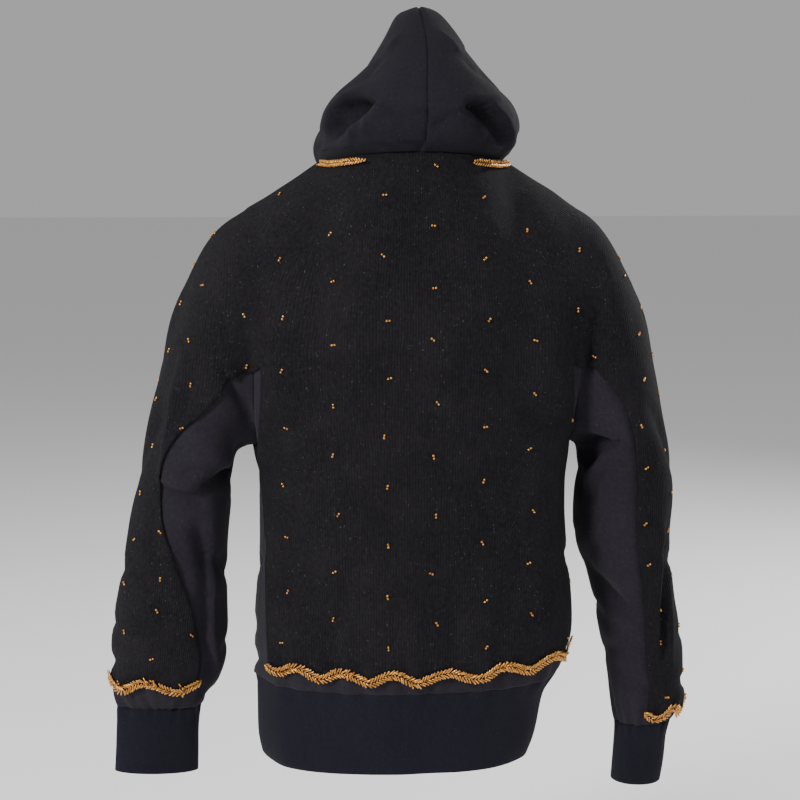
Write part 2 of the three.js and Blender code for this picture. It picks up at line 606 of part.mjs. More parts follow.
// A wall from a surface: its outer skin lies `out` above the points, its inner skin `deep` below them.
// inset pulls the border back from the seam.
function wall(faces, points, along, out, deep, inset) {
  const used = [...new Set(faces.flat())];
  const slot = new Map(used.map((v, i) => [v, i]));
  const edges = border(faces);
  const pull = new Map(edges.flat().map((v) => [v, point(0, 0, 0)]));
  for (const face of faces) {
    const centre = point(0, 0, 0);
    for (const v of face) centre.addScaledVector(points[v], 1 / face.length);
    for (const v of face) if (pull.has(v)) pull.get(v).add(centre.clone().sub(points[v]));
  }
  const place = (v, height) => {
    const p = points[v].clone().addScaledVector(along[v], height);
    if (!pull.has(v)) return p;
    const way = pull.get(v).clone();
    way.addScaledVector(along[v], -way.dot(along[v])).normalize();
    return p.addScaledVector(way, inset);
  };
  const positions = [...used.map((v) => place(v, out)), ...used.map((v) => place(v, -deep))];
  const index = [];
  const below = used.length;
  for (const [a, b, c] of triangles(faces, points)) {
    const [i, j, k] = [slot.get(a), slot.get(b), slot.get(c)];
    index.push(i, j, k, below + k, below + j, below + i);
  }
  for (const [a, b] of edges) {
    const [i, j] = [slot.get(a), slot.get(b)];
    if (a < b) index.push(i, below + i, below + j, i, below + j, j);
    else index.push(i, below + i, j, j, below + i, below + j);
  }
  const geometry = new THREE.BufferGeometry().setFromPoints(positions);
  geometry.setIndex(index);
  geometry.computeVertexNormals();
  return geometry;
}

for (const [name, faces] of surfaces) {
  const material = name === "waistband" || name.startsWith("cuff") ? BAND_CLOTH : FLEECE_CLOTH;
  add(name, wall(faces, vertices, NORMALS, 0, FLEECE, SEAM / 2), material);
}

// The knit: one piece over the back and the outer sleeves, made from the points of the fleece below it.
// Its scalloped ends have points of their own, part of the way between two rows of the fleece.
const knitPoints = vertices.map((p) => p.clone());
const knitNormals = NORMALS.map((n) => n.clone());
const knitFaces = [];
function between(corners, across, down) {
  const [a, b, c, d] = corners;
  const blend = (list) =>
    list[a].clone().lerp(list[b], across).lerp(list[d].clone().lerp(list[c], across), down);
  const normal = blend(NORMALS).normalize();
  knitPoints.push(blend(vertices).addScaledVector(normal, EDGE_LIFT));
  knitNormals.push(normal);
  return knitPoints.length - 1;
}

// Lays knit on columns of a grid, whose rows run down. end(column share) is the row, as a real number, at which
// it ends, and the ends of all columns lie below the row `full`.
function knitPanel(grid, first, last, full, end, order) {
  const edge = [];
  const pointAt = (x) => {
    const c = Math.min(Math.floor(x), last - 1);
    const row = end(x);
    const r = Math.min(Math.floor(row), grid.length - 2);
    return between([grid[r][c], grid[r][c + 1], grid[r + 1][c + 1], grid[r + 1][c]], x - c, row - r);
  };
  const count = (last - first) * SCALLOP_SPLIT;
  for (let i = 0; i <= count; i++) edge.push(pointAt(first + i / SCALLOP_SPLIT));
  for (let c = first; c < last; c++) {
    const [a, b] = [grid[full][c], grid[full][c + 1]];
    const q = edge.slice((c - first) * SCALLOP_SPLIT, (c - first + 1) * SCALLOP_SPLIT + 1);
    const half = Math.ceil(SCALLOP_SPLIT / 2);
    const fan = [];
    for (let i = 0; i < half; i++) fan.push([a, q[i + 1], q[i]]);
    fan.push([a, b, q[half]]);
    for (let i = half; i < SCALLOP_SPLIT; i++) fan.push([b, q[i + 1], q[i]]);
    knitFaces.push(...(order ? fan : fan.map((f) => f.reverse())));
  }
  return edge;
}

// The back's rows from the shoulder down. The knit leaves a strip of fleece beside the side seams.
const backDown = [...numbersBack].reverse();
const lastColumn = backDown[0].length - 1;
const junction = KNIT_EDGE;
function knitCell(grid, r, c) {
  const ring = [grid[r][c], grid[r][c + 1], grid[r + 1][c + 1], grid[r + 1][c]];
  return ring.filter((v, i) => v !== ring[(i + 3) % 4]);
}
function facing(face, list) {
  const [a, b, c] = face.map((v) => knitPoints[v]);
  return b.clone().sub(a).cross(c.clone().sub(a)).dot(list[face[0]]) > 0;
}
const hemFull = backDown.length - 3; // the row just above the scallops
function hemRow(x) {
  const share = x / lastColumn;
  const wave = -HEM_WAVE * Math.cos(2 * Math.PI * HEM_WAVES * share - 0.6);
  const base = share < 0.5
    ? mix(HEM_EDGE.left, HEM_EDGE.middle, share * 2)
    : mix(HEM_EDGE.middle, HEM_EDGE.right, share * 2 - 1);
  const sweep = Math.max(0, (share - HEM_SWEEP.from) / (1 - HEM_SWEEP.from));
  const z = base - wave + HEM_SWEEP.rise * sweep * sweep;
  const c = Math.min(Math.floor(x), lastColumn - 1);
  const height = (r) => mix(vertices[backDown[r][c]].z, vertices[backDown[r][c + 1]].z, x - c);
  return hemFull + (height(hemFull) - z) / (height(hemFull) - height(hemFull + 1));
}
for (let r = 0; r < hemFull; r++) {
  const side = r < junction ? 0 : 1;
  for (let c = side; c < lastColumn - side; c++) knitFaces.push(knitCell(backDown, r, c));
}
const hemEdge = knitPanel(backDown, 1, lastColumn - 1, hemFull, hemRow, true);

// On a sleeve the knit takes the columns from KNIT_FRONT in front, over the shoulder, to KNIT_EDGE behind.
function sleeveKnit(side, ends) {
  const rings = sleeveNumbers[side];
  const around = rings[0].length - 1;
  const columns = [];
  for (let c = around - KNIT_FRONT; c <= around; c++) columns.push(c);
  for (let c = 1; c <= KNIT_EDGE; c++) columns.push(c);
  const grid = rings.map((row) => columns.map((c) => row[c]));
  const width = columns.length - 1;
  const full = SLEEVE_ROWS;
  const row = (x) => {
    const share = x / width;
    const wave = ends.wave * Math.cos(2 * Math.PI * CUFF_WAVES * share + 0.8);
    return full + mix(ends.front, ends.back, share) + wave;
  };
  for (let r = 0; r < full; r++) for (let c = 0; c < width; c++) knitFaces.push(knitCell(grid, r, c));
  return knitPanel(grid, 0, width, full, row, true);
}
const cuffEdges = {
  left: sleeveKnit("left", SCALLOPS.left),
  right: sleeveKnit("right", SCALLOPS.right),
};
const outward = knitFaces.map((face) => (facing(face, knitNormals) ? face : [...face].reverse()));
add("knit", wall(outward, knitPoints, knitNormals, LAY + KNIT, -LAY, SEAM / 2), KNIT_CLOTH);

// A braid: a low oval bar along a line of points, lying on the knit.
const BRAID_SECTION = [
  { across: -1, up: 0 },
  { across: -0.62, up: 1 },
  { across: 0.62, up: 1 },
  { across: 1, up: 0 },
];
function bar(line, up, half, thick, section, lift) {
  const positions = [];
  const count = section.length;
  line.forEach((p, i) => {
    const ahead = line[Math.min(i + 1, line.length - 1)].clone().sub(line[Math.max(i - 1, 0)]);
    const across = ahead.cross(up[i]).normalize();
    for (const s of section)
      positions.push(p.clone().addScaledVector(across, half * s.across).addScaledVector(up[i], lift + thick * s.up));
  });
  const index = [];
  for (let i = 0; i + 1 < line.length; i++)
    for (let s = 0; s < count; s++) {
      const [a, b] = [i * count + s, i * count + ((s + 1) % count)];
      index.push(a, b, b + count, a, b + count, a + count);
    }
  const end = (line.length - 1) * count;
  for (let s = 1; s + 1 < count; s++) {
    index.push(0, s + 1, s);
    index.push(end, end + s, end + s + 1);
  }
  const geometry = new THREE.BufferGeometry().setFromPoints(positions);
  geometry.setIndex(index);
  geometry.computeVertexNormals();
  return geometry;
}
const BRAID_LIFT = LAY + KNIT + 0.6;
function braid(name, ids, lift = BRAID_LIFT) {
  const line = ids.map((v) => knitPoints[v]);
  const up = ids.map((v) => knitNormals[v]);
  add(name, bar(line, up, BRAID_WIDTH / 2, BRAID_THICK, BRAID_SECTION, lift), GOLD);
}
braid("trim_hem", hemEdge);
braid("trim_cuff_left", cuffEdges.left);
braid("trim_cuff_right", cuffEdges.right);

// Two short braids along the neckline, from beside the hood's middle to the shoulder seams.
const neckRow = backDown[0];
const NECK_BRAID = { from: SHOULDER_COLUMNS, to: SHOULDER_COLUMNS + 3, drop: 0.36, lift: BRAID_LIFT + 2.7 };
function neckBraid(name, mirror) {
  const column = (x) => (mirror ? lastColumn - x : x);
  const ids = [];
  for (let x = NECK_BRAID.from; x <= NECK_BRAID.to; x += 0.5) {
    const c = Math.min(Math.floor(column(x)), lastColumn - 1);
    const corners = [backDown[0][c], backDown[0][c + 1], backDown[1][c + 1], backDown[1][c]];
    ids.push(between(corners, column(x) - c, NECK_BRAID.drop));
  }
  braid(name, mirror ? ids.reverse() : ids, NECK_BRAID.lift);
}
neckBraid("trim_neck_left", false);
neckBraid("trim_neck_right", true);

// The zip: its tapes lie behind the fronts' edges, and its chain runs between them.
const frontEdge = (side) => {
  const rows = [...numbersBand].reverse().slice(0, -1);
  const band = rows.map((row) => (side > 0 ? [row[0], row[1]] : [row[row.length - 1], row[row.length - 2]]));
  const panel = numbersFront[side > 0 ? "left" : "right"];
  return [...band, ...panel.map((row) => [row[row.length - 1], row[row.length - 2]])];
};
function tape(name, side) {
  const points = [];
  const along = [];
  const grid = frontEdge(side).map(([edge, next]) => {
    const e = vertices[edge];
    const share = (TAPE_WIDTH + 0.3 - ZIP_GAP) / e.distanceTo(vertices[next]);
    const flat = point(0, NORMALS[edge].y, NORMALS[edge].z).normalize();
    points.push(point(side * 0.3, e.y, e.z), e.clone(), e.clone().lerp(vertices[next], share));
    along.push(flat, flat, NORMALS[edge].clone().lerp(NORMALS[next], share).normalize());
    return [points.length - 3, points.length - 2, points.length - 1];
  });
  const faces = [];
  for (let r = 0; r + 1 < grid.length; r++)
    for (let c = 0; c < 2; c++) faces.push([grid[r][c], grid[r][c + 1], grid[r + 1][c + 1], grid[r + 1][c]]);
  const turned = side > 0 ? faces : faces.map((f) => f.reverse());
  add(name, wall(turned, points, along, -TAPE_DEEP, TAPE_DEEP + TAPE_THICK, 0), TAPE_CLOTH);
}
tape("zip_tape_left", 1);
tape("zip_tape_right", -1);

// The centre front line, as points on the face of the cloth with their normals, between two heights.
function centreLine(low, high) {
  const rows = frontEdge(1).map(([edge]) => {
    const n = NORMALS[edge];
    return { p: point(0, vertices[edge].y, vertices[edge].z), n: point(0, n.y, n.z).normalize() };
  });
  const at = (z) => {
    let i = 1;
    while (i < rows.length - 1 && rows[i].p.z < z) i++;
    const t = (z - rows[i - 1].p.z) / (rows[i].p.z - rows[i - 1].p.z);
    return { p: rows[i - 1].p.clone().lerp(rows[i].p, t), n: rows[i - 1].n.clone().lerp(rows[i].n, t).normalize() };
  };
  return [at(low), ...rows.filter(({ p }) => p.z > low + 3 && p.z < high - 3), at(high)];
}
const chain = centreLine(CHAIN_ENDS.low, CHAIN_ENDS.high);
const CHAIN_SECTION = [
  { across: -1, up: 0 },
  { across: -1, up: 1 },
  { across: 1, up: 1 },
  { across: 1, up: 0 },
];
add(
  "zip_chain",
  bar(chain.map(({ p }) => p), chain.map(({ n }) => n), CHAIN_HALF, CHAIN_THICK, CHAIN_SECTION, -FLEECE - 0.05),
  BRASS,
);

// Places a hard piece on the centre front, its own Y looking out of the cloth's face.
function onFront(mesh, x, z) {
  const { p } = centreLine(z, z + 8)[0];
  mesh.position.set(x, p.y, z);
  return mesh;
}
for (const [name, side] of [["zip_stop_left", 1], ["zip_stop_right", -1]]) {
  const block = new THREE.BoxGeometry(STOP.width, STOP.thick, STOP.high);
  block.translate(0, FLEECE - STOP.thick / 2, 0);
  onFront(add(name, block, BRASS), side * (0.3 + STOP.width / 2), CHAIN_ENDS.high + 0.3 + STOP.high / 2);
}
const box = new THREE.BoxGeometry(BOX.width, BOX.thick, BOX.high);
box.translate(0, FLEECE - 0.7 - BOX.thick / 2, 0);
onFront(add("zip_box", box, BRASS), 0, CHAIN_ENDS.low - 0.3 - BOX.high / 2);

// A solid of a closed geometry, and the geometry of a solid.
function solidOf(geometry) {
  geometry.deleteAttribute("normal");
  geometry.deleteAttribute("uv");
  const merged = mergeVertices(geometry, 1e-4);
  return new wasm.Manifold(
    new wasm.Mesh({
      numProp: 3,
      vertProperties: merged.attributes.position.array,
      triVerts: new Uint32Array(merged.index.array),
    }),
  );
}
function geometryOf(solid) {
  const mesh = solid.getMesh();
  const geometry = new THREE.BufferGeometry();
  geometry.setAttribute("position", new THREE.BufferAttribute(mesh.vertProperties, 3));
  geometry.setIndex(new THREE.BufferAttribute(mesh.triVerts, 1));
  geometry.computeVertexNormals();
  return geometry;
}
function outline(corners) {
  const shape = new THREE.Shape();
  corners.forEach(([x, y], i) => (i ? shape.lineTo(x, y) : shape.moveTo(x, y)));
  shape.closePath();
  return shape;
}
const extrude = (shape, depth) =>
  new THREE.ExtrudeGeometry(shape, { depth, bevelEnabled: false, curveSegments: 10 }).translate(0, 0, -depth / 2);

// The slider: a channel over the chain, with a loop on its face. Its -Y is the outside.
const front = -SLIDER.lift;
const face = front - SLIDER.plate;
const channel = extrude(
  outline([
    [-SLIDER.half, face],
    [SLIDER.half, face],
    [SLIDER.half, SLIDER.flange],
    [SLIDER.inner, SLIDER.flange],
    [SLIDER.inner, front],
    [-SLIDER.inner, front],
    [-SLIDER.inner, SLIDER.flange],
    [-SLIDER.half, SLIDER.flange],
  ]),
  SLIDER.long,
);
const loop = outline([
  [-BAIL.half, -BAIL.low + 0.6],
  [-BAIL.half, -BAIL.outside],
  [BAIL.half, -BAIL.outside],
  [BAIL.half, -BAIL.low + 0.6],
  [BAIL.open, -BAIL.low + 0.6],
  [BAIL.open, -BAIL.inside],
  [-BAIL.open, -BAIL.inside],
  [-BAIL.open, -BAIL.low + 0.6],
]);
const bail = extrude(loop, BAIL.wide).rotateY(Math.PI / 2);
const slider = add("zip_slider", geometryOf(solidOf(channel).add(solidOf(bail))), BRASS);
onFront(slider, 0, SLIDER.z);

// The pull tab hangs by its round bar in the loop, and swings about that bar.
const tabShape = new THREE.Shape();
tabShape.moveTo(-TAB.half, 0.4);
tabShape.lineTo(TAB.half, 0.4);
tabShape.lineTo(TAB.end, -TAB.long + TAB.end);
tabShape.absarc(0, -TAB.long + TAB.end, TAB.end, 0, -Math.PI, true);
tabShape.lineTo(-TAB.half, 0.4);
const slot = outline([
  [-TAB.slotHalf, -TAB.bar],
  [-TAB.slotHalf, -TAB.slot],
  [TAB.slotHalf, -TAB.slot],
  [TAB.slotHalf, -TAB.bar],
]);
tabShape.holes.push(slot);
const plate = extrude(tabShape, TAB.thick).rotateX(Math.PI / 2);
const pin = new THREE.CylinderGeometry(TAB.bar, TAB.bar, TAB.half * 2, 16).rotateZ(Math.PI / 2);
const tab = add("pull_tab", geometryOf(solidOf(plate).add(solidOf(pin))), BRASS);
onFront(tab, 0, SLIDER.z);
tab.position.y -= TAB.up;

export default group;
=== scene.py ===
# %% [markdown]
# A women's zip hoodie, seen from behind and worn by nobody. The garment is heavy black sweatshirt
# fleece. A fine wool knit lies over its back and its sleeves, with pairs of small gold beads sewn on it
# and a gold beaded braid along its scalloped edges. The solid model gives the true form of each piece,
# so this lesson dresses those forms: softer cloth, seams, creases, beads, braid and zip teeth.

# %% Load the solid model
import math
import random

import bmesh
import bpy
import numpy as np
from mathutils import Matrix, Vector, noise
from mathutils.bvhtree import BVHTree


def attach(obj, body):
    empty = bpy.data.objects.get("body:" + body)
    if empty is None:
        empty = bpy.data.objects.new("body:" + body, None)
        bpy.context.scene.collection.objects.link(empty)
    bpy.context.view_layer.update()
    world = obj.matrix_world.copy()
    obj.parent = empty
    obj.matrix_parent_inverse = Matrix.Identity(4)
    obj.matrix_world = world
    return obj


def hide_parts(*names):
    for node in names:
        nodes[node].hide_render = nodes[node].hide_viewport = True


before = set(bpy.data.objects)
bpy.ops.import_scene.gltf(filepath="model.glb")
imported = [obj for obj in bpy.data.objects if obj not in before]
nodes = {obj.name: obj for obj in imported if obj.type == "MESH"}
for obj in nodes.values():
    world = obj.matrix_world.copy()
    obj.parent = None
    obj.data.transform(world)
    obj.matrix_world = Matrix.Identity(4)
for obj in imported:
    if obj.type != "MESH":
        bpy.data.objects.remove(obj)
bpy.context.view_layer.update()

# %% [markdown]
# The photograph was taken from behind, a little to the wearer's left and a little above the hem, from
# about two metres. A camera is easiest to place by two points: where it stands, and what it looks at.
# The lens follows from the width that the picture takes in at the garment.

# %% Place the camera
CAMERA_AT = Vector((0.1863, 1.9925, -0.0013))
LOOK_AT = Vector((0.012, 0.0, -0.254))
VIEW_WIDTH = 0.848  # metres across the picture at the garment


def place_camera():
    data = bpy.data.cameras.new("photo_camera")
    camera = bpy.data.objects.new("photo_camera", data)
    bpy.context.scene.collection.objects.link(camera)
    camera.location = CAMERA_AT
    camera.rotation_euler = (LOOK_AT - CAMERA_AT).to_track_quat("-Z", "Y").to_euler()
    data.sensor_width = 36
    data.lens = 36 * (LOOK_AT - CAMERA_AT).length / VIEW_WIDTH
    data.clip_end = 50
    bpy.context.scene.camera = camera
    return camera


camera = place_camera()
print("lens", round(camera.data.lens, 1), "mm")

# %% [markdown]
# The product picture is on white. A wide pale floor some way below the garment gives a like clean
# ground from every side, and throws a little light up into the folds.

# %% Build the pale floor
FLOOR_Z = -0.95


def deselect_all():
    for other in bpy.context.selected_objects:
        other.select_set(False)


def select_only(obj):
    deselect_all()
    bpy.context.view_layer.objects.active = obj
    obj.select_set(True)


def pale_material():
    material = bpy.data.materials.new("pale_floor")
    material.use_nodes = True
    shader = material.node_tree.nodes["Principled BSDF"]
    shader.inputs["Base Color"].default_value = (0.86, 0.86, 0.86, 1)
    shader.inputs["Roughness"].default_value = 0.9
    return material


deselect_all()
bpy.ops.mesh.primitive_plane_add(size=60, location=(0, 0, FLOOR_Z))
floor = bpy.context.object
floor.name = "floor"
floor.data.materials.append(pale_material())
print("floor at", FLOOR_Z)

# %% [markdown]
# Black cloth needs large soft lights, or its folds vanish. A big key light from the upper left of the
# picture, a weaker fill from the right and a rim from above draw the folds with soft edges, as in a
# shop's daylight. Two more lights stand on the other side, for the front.

# %% Light the garment
def soft_light(name, where, size, power):
    data = bpy.data.lights.new(name, "AREA")
    data.shape = "DISK"
    data.size = size
    data.energy = power
    lamp = bpy.data.objects.new(name, data)
    bpy.context.scene.collection.objects.link(lamp)
    lamp.location = where
    lamp.rotation_euler = (Vector((0, 0, -0.25)) - Vector(where)).to_track_quat("-Z", "Y").to_euler()


soft_light("key", (2.2, 2.0, 1.0), 0.7, 120)
soft_light("fill", (-2.4, 1.3, 0.6), 1.6, 30)
soft_light("top", (0.0, 0.3, 2.4), 1.2, 22)
soft_light("front_key", (-2.3, -1.9, 1.1), 0.7, 85)
soft_light("front_fill", (2.3, -1.4, 0.5), 1.6, 16)

world = bpy.data.worlds.new("studio")
bpy.context.scene.world = world
world.use_nodes = True
background = world.node_tree.nodes["Background"]
background.inputs["Color"].default_value = (1, 1, 1, 1)
background.inputs["Strength"].default_value = 0.42

# %% [markdown]
# Every cloth here shares small effects: a nap of short fibres, a mottled tone, and a little lint. A
# shader node group holds each effect once, with named inputs, and each material places it with its own
# values. A group only puts out colours and heights, and the Principled shader stays in the material.

# %% Helpers for node groups
def new_group(name, inputs, outputs):
    group = bpy.data.node_groups.new(name, "ShaderNodeTree")
    for label, kind, value in inputs:
        socket = group.interface.new_socket(name=label, in_out="INPUT", socket_type=kind)
        socket.default_value = value
    for label, kind in outputs:
        group.interface.new_socket(name=label, in_out="OUTPUT", socket_type=kind)
    return group, group.nodes.new("NodeGroupInput"), group.nodes.new("NodeGroupOutput")


def math_node(tree, operation, a, b=None, clamp=False):
    node = tree.nodes.new("ShaderNodeMath")
    node.operation = operation
    node.use_clamp = clamp
    for slot, value in enumerate((a, b)):
        if value is None:
            continue
        if isinstance(value, (int, float)):
            node.inputs[slot].default_value = value
        else:
            tree.links.new(value, node.inputs[slot])
    return node.outputs[0]


def noise_node(tree, where, scale, detail=2.0, rough=0.5):
    node = tree.nodes.new("ShaderNodeTexNoise")
    tree.links.new(where, node.inputs["Vector"])
    node.inputs["Scale"].default_value = scale
    node.inputs["Detail"].default_value = detail
    node.inputs["Roughness"].default_value = rough
    return node.outputs["Fac"]


def ramp_node(tree, value, low, high, to_low=0.0, to_high=1.0):
    node = tree.nodes.new("ShaderNodeMapRange")
    tree.links.new(value, node.inputs["Value"])
    for label, number in (("From Min", low), ("From Max", high), ("To Min", to_low), ("To Max", to_high)):
        node.inputs[label].default_value = number
    return node.outputs["Result"]


def mix_colour(tree, share, a, b):
    node = tree.nodes.new("ShaderNodeMix")
    node.data_type = "RGBA"
    for socket, value in ((node.inputs["Factor"], share), (node.inputs["A"], a), (node.inputs["B"], b)):
        if isinstance(value, (int, float, tuple)):
            socket.default_value = value
        else:
            tree.links.new(value, socket)
    return node.outputs["Result"]


print("node helpers ready")

# %% [markdown]
# The nap is what makes fleece and wool look soft: fibres too fine to model, clumped in patches of a few
# millimetres. Two noises give their height, a slow one gives the tone of worn black cloth, and rare
# bright specks are lint.

# %% The nap group
def nap_group():
    group, start, end = new_group(
        "cloth_nap",
        [
            ("Position", "NodeSocketVector", (0, 0, 0)),
            ("Dark", "NodeSocketColor", (0.01, 0.01, 0.012, 1)),
            ("Light", "NodeSocketColor", (0.02, 0.02, 0.024, 1)),
            ("Lint", "NodeSocketFloat", 0.5),
        ],
        [("Color", "NodeSocketColor"), ("Height", "NodeSocketFloat")],
    )
    where = start.outputs["Position"]
    tone = ramp_node(group, noise_node(group, where, 14.0, 3.0, 0.6), 0.34, 0.66)
    fibres = noise_node(group, where, 1500.0, 2.0, 0.7)
    clumps = noise_node(group, where, 260.0, 3.0, 0.6)
    share = math_node(group, "MULTIPLY", tone, 0.28)
    share = math_node(group, "ADD", share, ramp_node(group, fibres, 0.3, 0.75, 0.0, 0.45))
    share = math_node(group, "ADD", share, ramp_node(group, clumps, 0.35, 0.7, -0.05, 0.42), clamp=True)
    cloth = mix_colour(group, share, start.outputs["Dark"], start.outputs["Light"])
    speck = ramp_node(group, noise_node(group, where, 620.0, 0.0), 0.79, 0.83)
    speck = math_node(group, "MULTIPLY", speck, start.outputs["Lint"], clamp=True)
    colour = mix_colour(group, speck, cloth, (0.16, 0.16, 0.17, 1))
    height = math_node(group, "ADD", math_node(group, "MULTIPLY", fibres, 0.45), clumps)
    group.links.new(colour, end.inputs["Color"])
    group.links.new(height, end.inputs["Height"])
    return group


NAP = nap_group()
print("nap group:", len(NAP.nodes), "nodes")

# %% [markdown]
# A jersey knit shows columns of small V shapes, called wales. Their pattern has to run on round the
# body and down the sleeves, so it is drawn on the cloth's own map, which is in metres and is made
# further down: across it runs the way round the trunk or the arm, and up it the height.

# %% The knit group
def stitch_group():
    group, start, end = new_group(
        "knit_stitches",
        [
            ("Cloth", "NodeSocketVector", (0, 0, 0)),
            ("Wale", "NodeSocketFloat", 0.0026),
            ("Course", "NodeSocketFloat", 0.0021),
        ],
        [("Height", "NodeSocketFloat"), ("Groove shade", "NodeSocketFloat")],
    )
    parts = group.nodes.new("ShaderNodeSeparateXYZ")
    group.links.new(start.outputs["Cloth"], parts.inputs[0])
    wander = ramp_node(group, noise_node(group, start.outputs["Cloth"], 25.0, 1.0), 0.0, 1.0, -0.0016, 0.0016)
    across = math_node(group, "ADD", parts.outputs["X"], wander)
    column = math_node(group, "FRACT", math_node(group, "DIVIDE", across, start.outputs["Wale"]))
    side = math_node(group, "ABSOLUTE", math_node(group, "SUBTRACT", column, 0.5))
    row = math_node(group, "DIVIDE", parts.outputs["Y"], start.outputs["Course"])
    slant = math_node(group, "SUBTRACT", row, math_node(group, "MULTIPLY", side, 1.3))
    wave = math_node(group, "SINE", math_node(group, "MULTIPLY", slant, 2 * math.pi))
    loop = ramp_node(group, wave, -1.0, 1.0)
    ridge = math_node(group, "SINE", math_node(group, "MULTIPLY", column, math.pi))
    height = math_node(group, "ADD", math_node(group, "MULTIPLY", loop, 0.35), ridge)
    group.links.new(height, end.inputs["Height"])
    # the groove mask says where painted shade darkens the cloth between the wales
    group.links.new(ramp_node(group, ridge, 0.0, 0.5, 1.0, 0.0), end.inputs["Groove shade"])
    return group


STITCHES = stitch_group()
print("stitch group:", len(STITCHES.nodes), "nodes")


# %% [markdown]
# Fleece has its loops inside and a fine, close jersey outside, so its face is nearly smooth, with a
# soft sheen where the light grazes it. The waistband and the cuffs are the same yarn in a thicker band.
# The wool knit is duller, with visible wales and more lint.

# %% The cloth materials
# Painted shade: the grooves between the wales are darkened towards this tone, by this share.
GROOVE_SHADE_SHARE = 0.4  # how far the grooves between the wales darken
GROOVE_SHADE_TONE = (0.002, 0.002, 0.003, 1)


def cloth_material(name, dark, light, lint, nap_mm, sheen, stitch_mm=0.0, wale=0.0026, course=0.0021):
    material = bpy.data.materials.new(name)
    material.use_nodes = True
    tree = material.node_tree
    shader = tree.nodes["Principled BSDF"]
    shader.inputs["Roughness"].default_value = 0.95
    shader.inputs["Specular IOR Level"].default_value = 0.1
    shader.inputs["Sheen Weight"].default_value = sheen
    shader.inputs["Sheen Roughness"].default_value = 0.45
    where = tree.nodes.new("ShaderNodeTexCoord").outputs["Object"]
    nap = tree.nodes.new("ShaderNodeGroup")
    nap.node_tree = NAP
    tree.links.new(where, nap.inputs["Position"])
    nap.inputs["Dark"].default_value = (*dark, 1)
    nap.inputs["Light"].default_value = (*light, 1)
    nap.inputs["Lint"].default_value = lint
    colour = nap.outputs["Color"]
    fine = tree.nodes.new("ShaderNodeBump")
    fine.inputs["Distance"].default_value = nap_mm / 1000
    fine.inputs["Strength"].default_value = 0.7
    tree.links.new(nap.outputs["Height"], fine.inputs["Height"])
    if stitch_mm:
        knit = tree.nodes.new("ShaderNodeGroup")
        knit.node_tree = STITCHES
        tree.links.new(tree.nodes["Texture Coordinate"].outputs["UV"], knit.inputs["Cloth"])
        knit.inputs["Wale"].default_value = wale
        knit.inputs["Course"].default_value = course
        loops = tree.nodes.new("ShaderNodeBump")
        loops.inputs["Distance"].default_value = stitch_mm / 1000
        loops.inputs["Strength"].default_value = 0.8
        tree.links.new(knit.outputs["Height"], loops.inputs["Height"])
        tree.links.new(loops.outputs["Normal"], fine.inputs["Normal"])
        # painted shade in the grooves between the wales
        share = math_node(tree, "MULTIPLY", knit.outputs["Groove shade"], GROOVE_SHADE_SHARE)
        colour = mix_colour(tree, share, colour, GROOVE_SHADE_TONE)
    tree.links.new(colour, shader.inputs["Base Color"])
    tree.links.new(fine.outputs["Normal"], shader.inputs["Normal"])
    return material


# name, dark tone, light tone, lint, depth of the nap in mm, sheen, then a stitch's depth, width and height
FLEECE = cloth_material(
    "black_fleece", (0.0118, 0.0102, 0.0142), (0.0230, 0.0202, 0.0272), 0.15, 0.25, 0.03, 0.12, 0.0011, 0.0009
)
# The hood is the same fleece as the body, painted darker: painted shade that holds back the stronger light on
# the hood.
SHADED_HOOD_FLEECE = cloth_material(
    "hood_fleece_painted_shade", (0.0072, 0.0066, 0.0094), (0.0140, 0.0128, 0.0178), 0.15, 0.25, 0.018, 0.12, 0.0011, 0.0009
)
BAND = cloth_material(
    "black_band", (0.0065, 0.0062, 0.0105), (0.0115, 0.0108, 0.0180), 0.1, 0.2, 0.015, 0.22, 0.0016, 0.0012
)
KNIT = cloth_material(
    "wool_knit", (0.0030, 0.0027, 0.0034), (0.0150, 0.0134, 0.0160), 0.3, 0.4, 0.006, 0.45, 0.0027, 0.0022
)
TAPE = cloth_material(
    "zip_tape", (0.007, 0.007, 0.008), (0.013, 0.012, 0.015), 0.05, 0.1, 0.02, 0.2, 0.0008, 0.0008
)
print("cloth materials:", FLEECE.name, SHADED_HOOD_FLEECE.name, BAND.name, KNIT.name, TAPE.name)

# %% [markdown]
# The beads are gold-lined: warm, shiny and never quite alike. The zip is brass, brushed by use. Both
# read their tone from where a bead or a tooth lies, so that neighbours differ a little.

# %% The metal materials
def tone_group():
    group, start, end = new_group(
        "metal_tone",
        [
            ("Position", "NodeSocketVector", (0, 0, 0)),
            ("Deep", "NodeSocketColor", (0.4, 0.2, 0.05, 1)),
            ("Bright", "NodeSocketColor", (0.8, 0.5, 0.2, 1)),
            ("Spread", "NodeSocketFloat", 300.0),
        ],
        [("Color", "NodeSocketColor"), ("Worn", "NodeSocketFloat")],
    )
    node = group.nodes.new("ShaderNodeTexNoise")
    group.links.new(start.outputs["Position"], node.inputs["Vector"])
    group.links.new(start.outputs["Spread"], node.inputs["Scale"])
    node.inputs["Detail"].default_value = 2
    share = ramp_node(group, node.outputs["Fac"], 0.32, 0.68)
    colour = mix_colour(group, share, start.outputs["Deep"], start.outputs["Bright"])
    group.links.new(colour, end.inputs["Color"])
    group.links.new(ramp_node(group, node.outputs["Fac"], 0.3, 0.7, 0.24, 0.42), end.inputs["Worn"])
    return group


TONE = tone_group()


